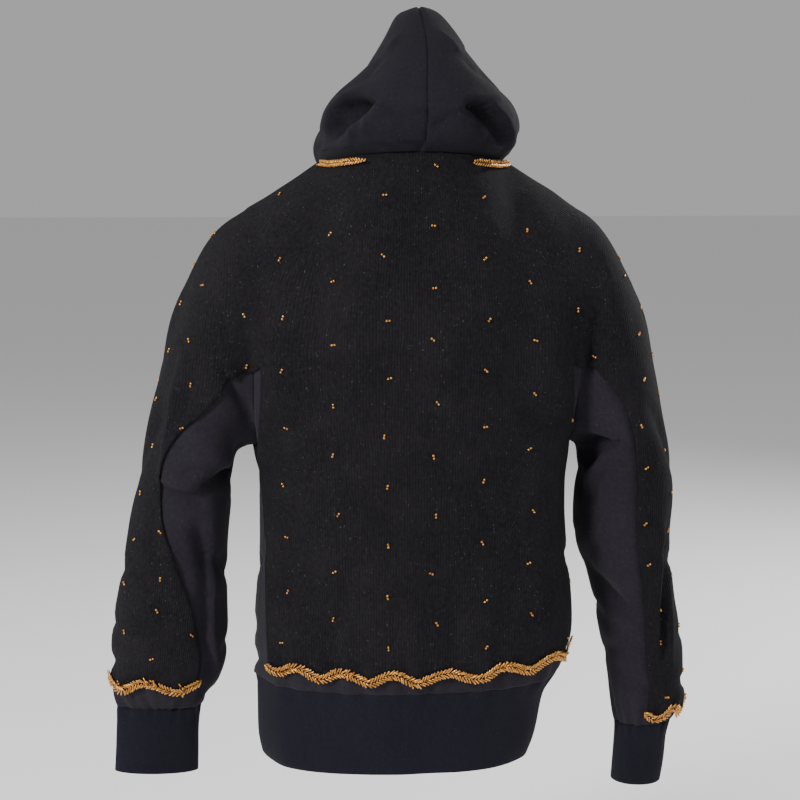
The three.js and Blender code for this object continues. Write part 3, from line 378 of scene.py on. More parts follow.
def metal_material(name, deep, bright, spread, metallic=0.75):
    material = bpy.data.materials.new(name)
    material.use_nodes = True
    tree = material.node_tree
    shader = tree.nodes["Principled BSDF"]
    shader.inputs["Metallic"].default_value = metallic
    where = tree.nodes.new("ShaderNodeTexCoord").outputs["Object"]
    tone = tree.nodes.new("ShaderNodeGroup")
    tone.node_tree = TONE
    tree.links.new(where, tone.inputs["Position"])
    tone.inputs["Deep"].default_value = (*deep, 1)
    tone.inputs["Bright"].default_value = (*bright, 1)
    tone.inputs["Spread"].default_value = spread
    tree.links.new(tone.outputs["Color"], shader.inputs["Base Color"])
    tree.links.new(tone.outputs["Worn"], shader.inputs["Roughness"])
    return material


GOLD = metal_material("gold_beads", (0.32, 0.125, 0.02), (0.68, 0.35, 0.095), 420.0)
BRASS = metal_material("zip_brass", (0.30, 0.19, 0.07), (0.62, 0.43, 0.19), 160.0, 1.0)
print("metal materials:", GOLD.name, BRASS.name)

# %% [markdown]
# The solid model's cloth is a thin closed wall, right in form but with coarse facets. A copy of it is
# merged, turned back into quads and subdivided, which gives the soft surface. Its rims are creased
# first, so that the edges stay where they are sewn and don't draw back from each other.

# %% Soften a cloth wall
RIM_ANGLE = math.radians(50)
RIM_WIDTH = 0.0027  # no wall is thicker
HALF_GAP = 0.00014  # nearly half of the gap that the solids keep at a seam
DRAWN = 0.2  # how far each skin is drawn towards the other there, as a share of the wall
WELD = 2e-5  # corners nearer than this are one


def sew_rims(work):
    # A rim's faces cross the wall, so they have edges as short as it is thick. They move out to close
    # the seam, and the two skins are drawn together there, as a seam or a hem draws them.
    across = [edge for edge in work.edges if edge.calc_length() < RIM_WIDTH]
    rims = {face for edge in across for face in edge.link_faces}
    push = {}
    for face in rims:
        for vert in face.verts:
            push[vert] = push.get(vert, Vector()) + face.normal
    for edge in across:
        a, b = edge.verts
        draw = (b.co - a.co) * DRAWN
        a.co += draw
        b.co -= draw
    for vert, way in push.items():
        vert.co += way.normalized() * HALF_GAP


def soft_copy(node_name, levels):
    source = nodes[node_name]
    obj = bpy.data.objects.new(node_name + "_cloth", source.data.copy())
    bpy.context.scene.collection.objects.link(obj)
    obj.data.materials.clear()
    select_only(obj)
    bpy.ops.object.mode_set(mode="EDIT")
    bpy.ops.mesh.select_all(action="SELECT")
    bpy.ops.mesh.remove_doubles(threshold=WELD)
    bpy.ops.mesh.tris_convert_to_quads(face_threshold=math.radians(38), shape_threshold=math.radians(60))
    bpy.ops.object.mode_set(mode="OBJECT")
    work = bmesh.new()
    work.from_mesh(obj.data)
    sew_rims(work)
    crease = work.edges.layers.float.new("crease_edge")
    for edge in work.edges:
        if len(edge.link_faces) == 2 and edge.calc_face_angle(0) > RIM_ANGLE:
            edge[crease] = 1.0
    work.to_mesh(obj.data)
    work.free()
    softener = obj.modifiers.new("soften", "SUBSURF")
    softener.levels = levels
    softener.render_levels = levels
    bpy.ops.object.modifier_apply(modifier=softener.name)
    bpy.ops.object.shade_smooth()
    return obj


print("soften ready")

# %% [markdown]
# Creases are listed one by one. Each moves the cloth along the outward direction of the body, the arm or the
# hood, so both skins of a wall move together, and the knit moves with the fleece below it. The outward
# direction comes from the garment's own middle lines: one for the trunk, one for each arm, one for the
# hood.

# %% Outward directions
# height, middle x, middle y, half width, half depth
ARM_LEFT = np.array([
    (-0.100, 0.200, 0.001, 0.060, 0.075), (-0.228, 0.212, 0.000, 0.060, 0.071),
    (-0.325, 0.234, -0.004, 0.058, 0.060), (-0.403, 0.247, -0.008, 0.053, 0.055),
    (-0.488, 0.255, -0.012, 0.061, 0.052), (-0.552, 0.261, -0.015, 0.061, 0.039),
    (-0.584, 0.269, -0.016, 0.045, 0.020), (-0.656, 0.275, -0.016, 0.045, 0.018),
])
ARM_RIGHT = np.array([
    (-0.100, -0.200, 0.001, 0.060, 0.075), (-0.228, -0.212, 0.000, 0.060, 0.071),
    (-0.333, -0.226, -0.007, 0.055, 0.060), (-0.410, -0.231, -0.013, 0.047, 0.054),
    (-0.492, -0.249, -0.019, 0.043, 0.051), (-0.567, -0.261, -0.023, 0.043, 0.047),
    (-0.614, -0.258, -0.024, 0.032, 0.034), (-0.682, -0.252, -0.024, 0.028, 0.031),
])


# How strongly the way out turns to the side, to the front or back, and up, and where it starts to turn up
TRUNK_TURN = (36, 82, 55)
TRUNK_TOP = -0.16
ARM_UP = 200
ARM_TOP = -0.2
HOOD_MIDDLE = (-0.004, -0.005)
HOOD_HALF = (0.095, 0.105)
HOOD_UP = 70
HOOD_TOP = 0.05
NECK = (-0.03, 0.01)  # the trunk passes into the hood between these heights
# How far out the trunk passes into the sleeve, and half the width of that change. Each is a height, the value
# above it and the value below it, where there is air between the two.
PASS_AT = (-0.39, 0.171, 0.182)
PASS_HALF = (-0.30, 0.018, 0.003)


def smooth(value, low, high):
    t = np.clip((value - low) / (high - low), 0, 1)
    return t * t * (3 - 2 * t)


def arm_direction(points, arm):
    z = -points[:, 2]
    column = [np.interp(z, -arm[:, 0], arm[:, k]) for k in range(1, 5)]
    return np.stack([
        (points[:, 0] - column[0]) / column[2] ** 2,
        (points[:, 1] - column[1]) / column[3] ** 2,
        np.maximum(0, points[:, 2] - ARM_TOP) * ARM_UP,
    ], axis=1)


def unit(vectors):
    return vectors / np.maximum(np.linalg.norm(vectors, axis=1, keepdims=True), 1e-9)


def arm_share(points):
    x, z = points[:, 0], points[:, 2]
    middle = np.where(z > PASS_AT[0], PASS_AT[1], PASS_AT[2])
    half = np.where(z > PASS_HALF[0], PASS_HALF[1], PASS_HALF[2])
    return smooth(np.abs(x), middle - half, middle + half)


def outward(points):
    x, y, z = points.T
    rise = np.maximum(0, z - TRUNK_TOP)
    trunk = np.stack([x * TRUNK_TURN[0], y * TRUNK_TURN[1], rise * TRUNK_TURN[2]], axis=1)
    hood = np.stack([
        (x - HOOD_MIDDLE[0]) / HOOD_HALF[0] ** 2,
        (y - HOOD_MIDDLE[1]) / HOOD_HALF[1] ** 2,
        np.maximum(0, z - HOOD_TOP) * HOOD_UP,
    ], axis=1)
    arm = np.where(x[:, None] > 0, arm_direction(points, ARM_LEFT), arm_direction(points, ARM_RIGHT))
    on_arm = arm_share(points)[:, None]
    in_hood = smooth(z, *NECK)[:, None]
    body = unit(unit(trunk) * (1 - on_arm) + unit(arm) * on_arm)
    return unit(body * (1 - in_hood) + unit(hood) * in_hood)


print("arm rows", len(ARM_LEFT), len(ARM_RIGHT))

# %% [markdown]
# The stitches run along the cloth, so each piece gets its own map in metres: across it runs the way
# round the trunk or the arm, and along it the height. The trunk's way round is read from an oval, so
# that the stitches stay even.

# %% Map the cloth
TRUNK = (0.166, 0.108)  # the oval's half width and half depth
TURNS = np.linspace(0, np.pi, 200)
oval = np.stack([TRUNK[0] * np.sin(TURNS), TRUNK[1] * np.cos(TURNS)])
ROUND = np.concatenate([[0], np.cumsum(np.hypot(*np.diff(oval)))])
ARM_REACH = 0.058  # a sleeve's mean radius
ARM_START = 0.125  # where a sleeve's map starts beside the trunk's
HOOD_SHARE = 0.7  # the hood is narrower than the trunk by this


def map_cloth(obj):
    mesh = obj.data
    flat = np.empty(len(mesh.vertices) * 3)
    mesh.vertices.foreach_get("co", flat)
    points = flat.reshape(-1, 3)
    x, y, z = points.T
    side = np.where(x > 0, 1.0, -1.0)
    turn = np.arctan2(x / TRUNK[0], y / TRUNK[1])
    trunk = np.sign(turn) * np.interp(np.abs(turn), TURNS, ROUND) * np.where(z > 0, HOOD_SHARE, 1.0)
    middles = []
    for arm in (ARM_LEFT, ARM_RIGHT):
        middles.append(np.stack([np.interp(-z, -arm[:, 0], arm[:, k]) for k in (1, 2)]))
    middle = np.where(x > 0, *middles)
    lap = np.mod(np.arctan2(y - middle[1], -side * (x - middle[0])), 2 * np.pi)
    share = arm_share(points) * (z < 0)
    across = trunk * (1 - share) + side * (ARM_START + ARM_REACH * lap) * share
    corners = np.empty(len(mesh.loops), dtype=np.int32)
    mesh.loops.foreach_get("vertex_index", corners)
    u = across[corners].reshape(-1, 4)
    behind = np.abs(u).max(axis=1, keepdims=True) - np.abs(u) > math.pi * ARM_REACH
    u = u + behind * np.sign(u) * 2 * math.pi * ARM_REACH
    layer = mesh.uv_layers.new(name="weave")
    layer.data.foreach_set("uv", np.stack([u.ravel(), z[corners]], axis=1).ravel().astype(np.float32))


print("half way round the trunk", round(float(ROUND[-1]), 3), "m")

# %% [markdown]
# The photograph shows few but telling creases: the knit pulls towards the armpits, the fleece under the
# left arm bags and folds twice, the right arm has one deep fold and two long soft ones, and the bands
# draw the cloth into small uneven gathers. The front isn't shown, so it gets the same kind of creases
# in other places.

# %% The creases
# start (across, height), end (across, height), width, depth (below zero sinks), in millimetres
CREASES = {
    "back": [
        (236, -200, 262, -292, 7, 2.6), (222, -206, 246, -280, 9, -2.4),
        (254, -322, 190, -318, 7, -3.0), (250, -330, 214, -345, 6, 2.5),
        (244, -345, 204, -352, 6, -2.2), (236, -366, 210, -432, 8, -2.6),
        (262, -372, 248, -452, 9, 2.0), (300, -420, 262, -452, 9, -1.8),
        (308, -498, 246, -470, 8, -2.4), (300, -520, 240, -500, 7, 1.8),
        (296, -548, 232, -528, 7, -2.2), (214, -520, 226, -572, 7, -2.4),
        (-184, -286, -212, -302, 6, -3.2), (-206, -310, -190, -356, 6, -3.0),
        (-196, -392, -244, -452, 7, 2.4), (-186, -418, -236, -486, 8, -2.6),
        (-278, -440, -280, -548, 5, 1.8), (-270, -440, -272, -556, 6, -1.8),
        (-218, -500, -262, -540, 8, -2.0), (-226, -548, -270, -584, 7, -2.0),
        (-186, -112, -180, -250, 8, -3.0), (-196, -120, -192, -240, 8, 2.2),
        (152, -292, 86, -236, 12, -2.4), (148, -316, 78, -300, 13, -1.8),
        (-150, -284, -88, -226, 12, -2.6), (-146, -306, -70, -290, 12, -1.8),
        (126, -110, 64, -64, 13, 1.8), (-126, -108, -62, -62, 13, 1.8),
        (96, -506, 70, -410, 10, -1.8), (-84, -508, -104, -396, 11, -1.9),
        (30, -512, 22, -440, 9, -1.4), (-28, -514, -36, -436, 9, -1.5),
        (132, -500, 140, -400, 9, -1.6), (-136, -500, -142, -410, 9, -1.6), (44, 58, 22, 38, 5, -2.6),
        (12, 45, -16, 44, 3.5, -2.0), (-30, 44, -8, 26, 5, -2.2), (40, 36, 14, 20, 5, 1.6),
        (60, 44, 64, 14, 5, -2.4), (-54, 40, -66, 14, 5, -2.4), (16, 126, 34, 104, 4, 1.8),
        (30, 108, 50, 84, 4, -1.8), (-26, 128, -46, 104, 4, 1.8), (-44, 104, -66, 82, 4.5, -1.6),
        (132, -372, 92, -524, 17, -2.2), (108, -360, 70, -500, 14, 1.2),
    ],
    "left": [
        (60, 84, 10, 60, 7, -2.8), (20, 106, -60, 84, 7, -2.6), (-10, 40, -84, 52, 8, -2.6),
        (30, 26, -30, 8, 7, -2.4), (48, -250, 0, -330, 10, -2.4), (-50, -270, -6, -340, 10, -2.4),
        (42, -400, -20, -440, 9, -2.4), (-48, -470, 10, -500, 9, -2.2),
        (30, -520, -34, -540, 8, -2.4), (10, -120, -6, -220, 11, 2.0),
    ],
    "right": [
        (54, 88, 6, 62, 7, -2.6), (16, 110, -64, 90, 7, -2.6), (-8, 36, -80, 58, 8, -2.6),
        (32, 24, -34, 6, 7, -2.4), (46, -260, -4, -340, 10, -2.4), (-50, -280, -8, -350, 10, -2.4),
        (36, -410, -30, -450, 9, -2.4), (-56, -490, 4, -520, 9, -2.2), (22, -560, -50, -582, 8, -2.4),
        (8, -130, -8, -230, 11, 2.0),
    ],
    "front": [
        (150, -290, 84, -226, 11, -4.0), (-150, -290, -80, -232, 12, -4.4),
        (146, -320, 62, -312, 10, -3.4), (-148, -316, -66, -290, 11, -3.0),
        (120, -110, 66, -66, 12, 1.8), (-120, -110, -64, -68, 12, 1.8),
        (36, -130, 46, -250, 12, -1.8), (-34, -140, -50, -260, 12, -1.8),
        (98, -506, 60, -370, 11, -3.6), (-92, -512, -78, -352, 11, -3.2),
        (34, -518, 44, -420, 8, -2.8), (-36, -514, -30, -440, 8, -2.4),
        (134, -514, 140, -390, 9, -3.2), (-134, -510, -122, -404, 9, -3.0),
        (262, -330, 200, -330, 8, -2.8), (-258, -330, -188, -336, 8, -2.8),
        (290, -410, 214, -446, 9, -2.4), (-272, -400, -206, -452, 9, -2.4),
        (306, -500, 240, -520, 8, -2.2), (-296, -520, -226, -548, 8, -2.2),
    ],
}
STRENGTH = 2.1
NARROW = 0.85
FACING = 1.7  # a crease keeps its full depth until the cloth turns well away
LOOKS = {"back": (0, 1), "front": (0, -1), "left": (1, 1), "right": (1, -1)}  # axis across, sign


def crease_depth(points, way):
    total = np.zeros(len(points))
    for seen, rows in CREASES.items():
        side, sign = LOOKS[seen]
        facing = np.clip(way[:, 1 - side] * sign * FACING, 0, 1)
        for a, z, b, w, width, depth in rows:
            dx, dz = b - a, w - z
            px, pz = points[:, side] * 1000 - a, points[:, 2] * 1000 - z
            along = np.clip((px * dx + pz * dz) / (dx * dx + dz * dz), 0, 1)
            off = np.hypot(px - dx * along, pz - dz * along) / (width * NARROW)
            fade = np.sin(np.pi * np.clip(along, 0.1, 0.9)) ** 0.7
            total += depth * np.exp(-off * off) * facing * fade
    return total * STRENGTH / 1000


# Where the cloth laps over itself, the edge is sharp: one side stands proud and the other drops away
# below it. Each line is walked so that its proud side is on the left. Seen from, points, rise and its
# reach, drop and its reach.
LAPS = [
    ("back", [(184, -319), (201, -321), (220, -330), (230, -339), (268, -331)], 8.5, 18, 12.0, 15),
    ("back", [(266, -331), (252, -262), (245, -220), (242, -190)], 2.0, 10, 3.5, 12),
    ("back", [(167, -309), (166, -280), (169, -252), (186, -225), (203, -200)], 1.5, 10, 6.0, 9),
    ("back", [(-184, -359), (-187, -330), (-198, -308), (-209, -295), (-202, -290), (-166, -284)],
     7.5, 16, 11.0, 16),
    ("back", [(-240, -481), (-216, -459), (-196, -437), (-174, -411)], 5.0, 15, 9.0, 16),
    ("back", [(-268, -380), (-267, -454), (-266, -540)], 2.2, 8, 4.5, 10),
    ("back", [(-177, -190), (-169, -238), (-162, -282)], 1.5, 10, 6.0, 9),
    ("back", [(204, -560), (216, -500), (214, -440), (220, -345)], 3.5, 10, 6.5, 10),
    ("back", [(43, 58), (71, 59), (86, 48), (96, 18)], 7.0, 11, 18.0, 15),
    ("back", [(86, 18), (63, 38), (43, 58)], 5.0, 10, 13.0, 12),
    ("back", [(-102, 12), (-82, 37), (-61, 54), (-44, 57)], 7.0, 11, 16.0, 13),
    ("back", [(-37, 60), (-8, 62)], 1.0, 6, 2.2, 5),
    ("back", [(-8, 33), (22, 47)], 1.4, 8, 2.4, 7),
    ("back", [(-46, 54), (-30, 43), (-18, 41)], 1.4, 8, 2.4, 7),
    ("front", [(-186, -322), (-206, -330), (-236, -334)], 3.0, 18, 5.0, 14),
    ("front", [(188, -326), (210, -338), (250, -330)], 3.0, 18, 5.0, 14),
    ("front", [(-205, -470), (-232, -452), (-262, -456)], 2.0, 14, 3.5, 14),
    ("front", [(216, -462), (246, -440), (280, -446)], 2.0, 14, 3.5, 14),
]


LAP_EDGE = 2.0  # the drop takes this many millimetres


def lap_depth(points, way):
    total = np.zeros(len(points))
    for seen, line, rise, high, drop, low in LAPS:
        side, sign = LOOKS[seen]
        facing = np.clip(way[:, 1 - side] * sign * FACING, 0, 1)
        px, pz = points[:, side] * 1000, points[:, 2] * 1000
        best = np.full(len(points), 1e9)
        proud = np.zeros(len(points))
        place = np.zeros(len(points))
        for k, ((a, z), (b, w)) in enumerate(zip(line, line[1:])):
            dx, dz = b - a, w - z
            along = np.clip(((px - a) * dx + (pz - z) * dz) / (dx * dx + dz * dz), 0, 1)
            off = np.hypot(px - a - dx * along, pz - z - dz * along)
            turn = dx * (pz - z) - dz * (px - a)
            near = off < best
            best = np.where(near, off, best)
            proud = np.where(near, np.sign(turn), proud)
            place = np.where(near, (k + along) / (len(line) - 1), place)
        fade = np.clip(np.sin(np.pi * np.clip(place, 0, 1)) * 2.2, 0, 1)
        step = np.tanh(best / LAP_EDGE)
        up = rise * np.exp(-(best / high) ** 2)
        down = -drop * np.exp(-(best / low) ** 2)
        total += np.where(proud * (-1 if seen == "front" else 1) > 0, up, down) * step * fade * facing
    return total / 1000


# The right sleeve lies close to the trunk below the armhole, and both sleeves bag a little. Middle,
# reach, amount.
BAGS = [
    ((-0.186, -0.004, -0.312), 0.034, 0.008),
    ((0.262, 0.02, -0.275), 0.05, 0.003),
    ((-0.236, 0.03, -0.40), 0.06, 0.003),
]


def bag_depth(points):
    total = np.zeros(len(points))
    for middle, reach, amount in BAGS:
        total += amount * np.exp(-(np.linalg.norm(points - middle, axis=1) / reach) ** 2)
    return total * arm_share(points)


# Where a band draws the cloth in: height, how far the gathers run up, how many millimetres apart they
# lie, the band's middle and its mean radius
GATHERS = [
    ("trunk", -0.546, 0.055, 27.0, (0.0, 0.0), 0.145),
    ("left", -0.584, 0.036, 15.0, (0.268, -0.016), 0.037),
    ("right", -0.614, 0.036, 13.0, (-0.258, -0.024), 0.033),
]
GATHER_DEPTH = 0.0014
BELOW_BAND = 0.012  # how soon the gathers fade inside the band
TRUNK_EDGE = 0.182


def gather_depth(points):
    x, y, z = points.T
    total = np.zeros(len(points))
    for place, height, run, apart, middle, reach in GATHERS:
        here = {"trunk": np.abs(x) < TRUNK_EDGE, "left": x > TRUNK_EDGE, "right": x < -TRUNK_EDGE}[place]
        turn = np.arctan2(y - middle[1], x - middle[0]) * reach * 1000
        wave = np.sin(turn / apart * 2 * np.pi + 1.7 * np.sin(turn / 71.0))
        wave += 0.6 * np.sin(turn / apart * 3.9 + 1.3)
        above = z - height
        fade = np.where(above > 0, np.exp(-(above / run) ** 2), np.exp(-(above / BELOW_BAND) ** 2))
        total += here * wave * fade * GATHER_DEPTH
    return total


# A slow unevenness and a finer one: how often it turns round and up the garment, and its depth
WOBBLES = [(11, 7, 0.0034), (34, 20, 0.0012)]


def wobble(points):
    deep = np.zeros(len(points))
    for often, up, depth in WOBBLES:
        deep += [noise.noise(Vector((x * often, y * often, z * up))) * depth for x, y, z in points]
    return deep


def all_depths(points, way):
    bends = crease_depth(points, way) + lap_depth(points, way)
    return bends + gather_depth(points) + bag_depth(points) + wobble(points)


def crease_cloth(obj, lift=0.0):
    count = len(obj.data.vertices)
    flat = np.empty(count * 3)
    obj.data.vertices.foreach_get("co", flat)
    points = flat.reshape(-1, 3)
    way = outward(points)
    depth = all_depths(points, way) + lift
    points += way * depth[:, None]
    obj.data.vertices.foreach_set("co", points.ravel())
    obj.data.update()
    return depth


# The seam up the middle of the hood sinks between its two halves.
SEAM_SINK = 0.0017
SEAM_REACH = 0.0016
HOOD_HALVES = {"hood_left": "hood_right", "hood_right": "hood_left"}


def tree_of(meshes):
    points = []
    rings = []
    for mesh in meshes:
        start = len(points)
        points.extend(v.co[:] for v in mesh.vertices)
        rings.extend(tuple(i + start for i in face.vertices) for face in mesh.polygons)
    return BVHTree.FromPolygons(points, rings)


def seam_lift(obj, other_name):
    solid = nodes[other_name].data
    other = tree_of([solid])
    gaps = np.array([other.find_nearest(vert.co)[3] for vert in obj.data.vertices])
    return -SEAM_SINK * np.clip(1.5 - gaps / SEAM_REACH, 0, 1)


print("creases", sum(len(rows) for rows in CREASES.values()), "laps", len(LAPS))

# %% [markdown]
# Now the thirteen cloth pieces are dressed. Each stands for its solid, rides on the garment, and takes
# its own cloth.

# %% Dress the cloth pieces
CLOTH = {
    "back": (FLEECE, "fleece"), "front_left": (FLEECE, "fleece"), "front_right": (FLEECE, "fleece"),
    "sleeve_left": (FLEECE, "fleece"), "sleeve_right": (FLEECE, "fleece"),
    # the hood halves take the fleece copy with painted shade
    "hood_left": (SHADED_HOOD_FLEECE, "fleece"), "hood_right": (SHADED_HOOD_FLEECE, "fleece"),
    "waistband": (BAND, "band"), "cuff_left": (BAND, "band"), "cuff_right": (BAND, "band"),
    "zip_tape_left": (TAPE, "tape"), "zip_tape_right": (TAPE, "tape"),
    "knit": (KNIT, "knit"),
}
KNIT_LIFT = 0.0008  # the knit keeps a little more air below it than its solid does
dressed = {}
for name, (material, slot) in CLOTH.items():
    piece = soft_copy(name, levels=1 if name.startswith("zip") else 2)
    piece.data.materials.append(material)
    map_cloth(piece)
    lift = seam_lift(piece, HOOD_HALVES[name]) if name in HOOD_HALVES else 0.0
    depth = crease_cloth(piece, KNIT_LIFT if name == "knit" else lift)
    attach(piece, "garment")
    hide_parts(name)
    dressed[name] = piece

# %% [markdown]
# The gold braid is beadwork: two rows of slim glass tubes lie slanted, one row each way, and meet in
# the middle like an ear of wheat. One tube is modelled and copied along each strip of the solid model's
# trim, whose middle line is read from its rungs, the only edges that are as long as the braid is wide.

# %% Read the braid's middle line
BRAID_WIDTH = 0.0095  # of the solid's foot
BRAID_TOP = 0.0059  # of its narrower top
RUNG_SLACK = 0.00011
TOP_REACH = 0.005  # a rung's own top is nearer than this


def rungs(work, length):
    return [edge for edge in work.edges if abs(edge.calc_length() - length) < RUNG_SLACK]


def braid_line(node_name):
    work = bmesh.new()
    work.from_mesh(nodes[node_name].data)
    bmesh.ops.remove_doubles(work, verts=work.verts, dist=WELD)
    tops = [sum((v.co for v in edge.verts), Vector()) / 2 for edge in rungs(work, BRAID_TOP)]
    feet = []
    for edge in rungs(work, BRAID_WIDTH):
        middle = (edge.verts[0].co + edge.verts[1].co) / 2
        top = min(tops, key=lambda p: (p - middle).length)
        if (top - middle).length < TOP_REACH:
            feet.append((middle, (top - middle).normalized()))
    work.free()
    last = max(feet, key=lambda foot: (foot[0] - feet[0][0]).length)
    line = [last]
    rest = [foot for foot in feet if foot is not last]
    while rest:
        near = min(rest, key=lambda foot: (foot[0] - line[-1][0]).length)
        line.append(near)
        rest.remove(near)
    return line


def walk(line, step):
    spots = []
    carry = 0.0
    for (a, up_a), (b, up_b) in zip(line, line[1:]):
        reach = (b - a).length
        while carry < reach:
            t = carry / reach
            spots.append((a.lerp(b, t), up_a.lerp(up_b, t).normalized(), (b - a).normalized()))
            carry += step
        carry -= reach
    return spots


print("hem braid rungs", len(braid_line("trim_hem")))

# %% [markdown]
# A tube bead is a six-sided cylinder with softened ends. Many copies are joined into one mesh for each
# strip, with small seeded differences in lie and length, because hand-sewn beads never line up.

# %% Bead and copies
def model_bead(name, radius, depth, sides, soften):
    deselect_all()
    bpy.ops.mesh.primitive_cylinder_add(vertices=sides, radius=radius, depth=depth)
    obj = bpy.context.object
    obj.name = name
    rims = obj.modifiers.new("rims", "BEVEL")
    rims.width = soften
    rims.segments = 2
    rims.limit_method = "ANGLE"
    rims.angle_limit = math.radians(75)
    bpy.ops.object.modifier_apply(modifier=rims.name)
    bpy.ops.object.shade_smooth()
    return obj


def scatter(name, model, placings, material):
    corners = np.array([v.co[:] for v in model.data.vertices])
    faces = [tuple(face.vertices) for face in model.data.polygons]
    points = []
    rings = []
    for count, placing in enumerate(placings):
        turn = np.array(placing)
        points.extend((corners @ turn[:3, :3].T + turn[:3, 3]).tolist())
        rings.extend([tuple(i + count * len(corners) for i in face) for face in faces])
    mesh = bpy.data.meshes.new(name)
    mesh.from_pydata(points, [], rings)
    mesh.shade_smooth()
    mesh.materials.append(material)
    obj = bpy.data.objects.new(name, mesh)
    bpy.context.scene.collection.objects.link(obj)
    return obj


def lay(place, axis, up):
    side = up.cross(axis).normalized()
    lift = axis.cross(side).normalized()
    turn = Matrix((side, lift, axis)).transposed().to_4x4()
    turn.translation = place
    return turn


tube = model_bead("tube_bead", radius=0.00098, depth=0.0072, sides=6, soften=0.0004)
print("tube bead", len(tube.data.polygons), "faces")

# %% [markdown]
# The braid follows the creased cloth, so its line is moved by the same creases as the knit below it.
# Each row leans outwards by some 41 degrees, and every bead's outer end rests a little higher, on the
# next one.

# %% Lay the braid
LEAN = math.radians(41)
STEP = 0.0034
NECK_SHARE = 0.66  # the two lengths at the neck are narrower than the rest
TAPER = 0.014  # and they run out to a point over this length, towards the middle
TIP = 0.4  # the share that is left at the point
LEAN_SPREAD = 0.13
OUT = (0.0024, 0.0030)  # from the middle line to a bead's middle, least and most
UP = (0.0007, 0.0011)  # from the cloth
STAGGER = 0.0006  # the two rows are out of step by twice this


def moved_line(line):
    points = np.array([place[:] for place, up in line])
    way = outward(points)
    depth = all_depths(points, way) + KNIT_LIFT
    return [(Vector(p), up) for p, (place, up) in zip(points + way * depth[:, None], line)]


def lay_braid(node_name, seed):
    chance = random.Random(seed)
    line = moved_line(braid_line(node_name))
    inner = min(abs(place.x) for place, up in line)
    placings = []
    for place, up, along in walk(line, STEP):
        share = NECK_SHARE * min(1, TIP + (abs(place.x) - inner) / TAPER) if "neck" in node_name else 1.0
        across = up.cross(along).normalized()
        for side in (-1, 1):
            lean = LEAN + chance.uniform(-LEAN_SPREAD, LEAN_SPREAD)
            axis = along * math.cos(lean) + across * side * math.sin(lean) + up * chance.uniform(0.05, 0.2)
            spot = place + across * side * share * chance.uniform(*OUT)
            spot += up * chance.uniform(*UP) + along * side * STAGGER
            turn = lay(spot, axis.normalized(), up)
            placings.append(turn @ Matrix.Diagonal((1, 1, share * chance.uniform(0.9, 1.06), 1)))
    piece = scatter(node_name + "_beads", tube, placings, GOLD)
    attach(piece, "garment")
    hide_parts(node_name)
    print(node_name, len(placings), "beads")
    return piece


TRIMS = ["trim_hem", "trim_cuff_left", "trim_cuff_right", "trim_neck_left", "trim_neck_right"]
braids = {name: lay_braid(name, seed) for seed, name in enumerate(TRIMS, start=7)}

# %% [markdown]
# Pairs of tiny gold beads are sewn all over the knit in upright columns some 50 mm apart, every second
# column half a step down. Their places are looked up on the knit with rays: straight from behind over
# the back, and from all round towards the middle of each arm.

# %% Sew the bead pairs
knit_tree = tree_of([dressed["knit"].data])
COLUMN = 0.0502
ROW = 0.0575
FIRST = (-0.0135, -0.012)  # the middle column and the top row
BODY_EDGE = 0.172  # from here outwards the knit is a sleeve's
SLEEVE_TOP = -0.055
SLEEVE_ROW = 0.86  # the rows of the sleeves are closer by this
FLAT_ON = -0.25  # a ray has to meet the knit at least this squarely


def on_knit(start, way, deepest):
    spot, normal = knit_tree.ray_cast(Vector(start), Vector(way), deepest)[:2]
    if spot is None or normal.dot(Vector(way)) > FLAT_ON:
        return None
    return spot, normal


chance = random.Random(41)
sewn = []
for column in range(-3, 4):
    for row in range(11):
        x = FIRST[0] + column * COLUMN + chance.uniform(-0.004, 0.004)
        z = FIRST[1] - row * ROW - (column % 2) * ROW / 2 + chance.uniform(-0.006, 0.006)
        found = on_knit((x, 0.3, z), (0, -1, 0), 0.5) if abs(x) < BODY_EDGE else None
        if found:
            sewn.append(found)
for side, arm in ((1, ARM_LEFT), (-1, ARM_RIGHT)):
    for column, angle in enumerate(range(112, -100, -42)):
        for row in range(12):
            z = SLEEVE_TOP - (row + (column % 2) / 2) * ROW * SLEEVE_ROW + chance.uniform(-0.008, 0.008)
            turn = math.radians(angle + chance.uniform(-6, 6))
            middle = [float(np.interp(-z, -arm[:, 0], arm[:, k])) for k in (1, 2)]
            way = Vector((-side * math.cos(turn), -math.sin(turn), 0))
            found = on_knit(Vector((middle[0], middle[1], z)) - way * 0.15, way, 0.15)
            if found and abs(found[0].x) > BODY_EDGE:
                sewn.append(found)
print("pairs", len(sewn))

# %% Copy the small beads
APART = 0.00145  # half the distance between the two beads of a pair
BEAD_RISE = 0.0008  # how far their middles lie above the cloth
seed_bead = model_bead("seed_bead", radius=0.00115, depth=0.0021, sides=8, soften=0.0005)
placings = []
for spot, normal in sewn:
    turn = chance.uniform(0, math.pi)
    first = normal.orthogonal().normalized()
    along = first * math.cos(turn) + normal.cross(first) * math.sin(turn)
    for end in (-1, 1):
        lean = (along + normal.cross(along) * chance.uniform(-0.3, 0.3)).normalized()
        placings.append(lay(spot + along * end * APART + normal * BEAD_RISE, lean, normal))
pairs = scatter("bead_pairs", seed_bead, placings, GOLD)
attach(pairs, "garment")
for model in (tube, seed_bead):
    bpy.data.objects.remove(model)
print("small beads", len(placings))

# %% [markdown]
# The photograph doesn't show the zip, so it is a plain brass one. Two rows of teeth mesh: one row a
# side, half a pitch apart. One tooth starts as a cube, is drawn out and bevelled, and its copies follow
# the chain's solid.

# %% Read the chain's line
CHAIN_WIDTH = 0.0054


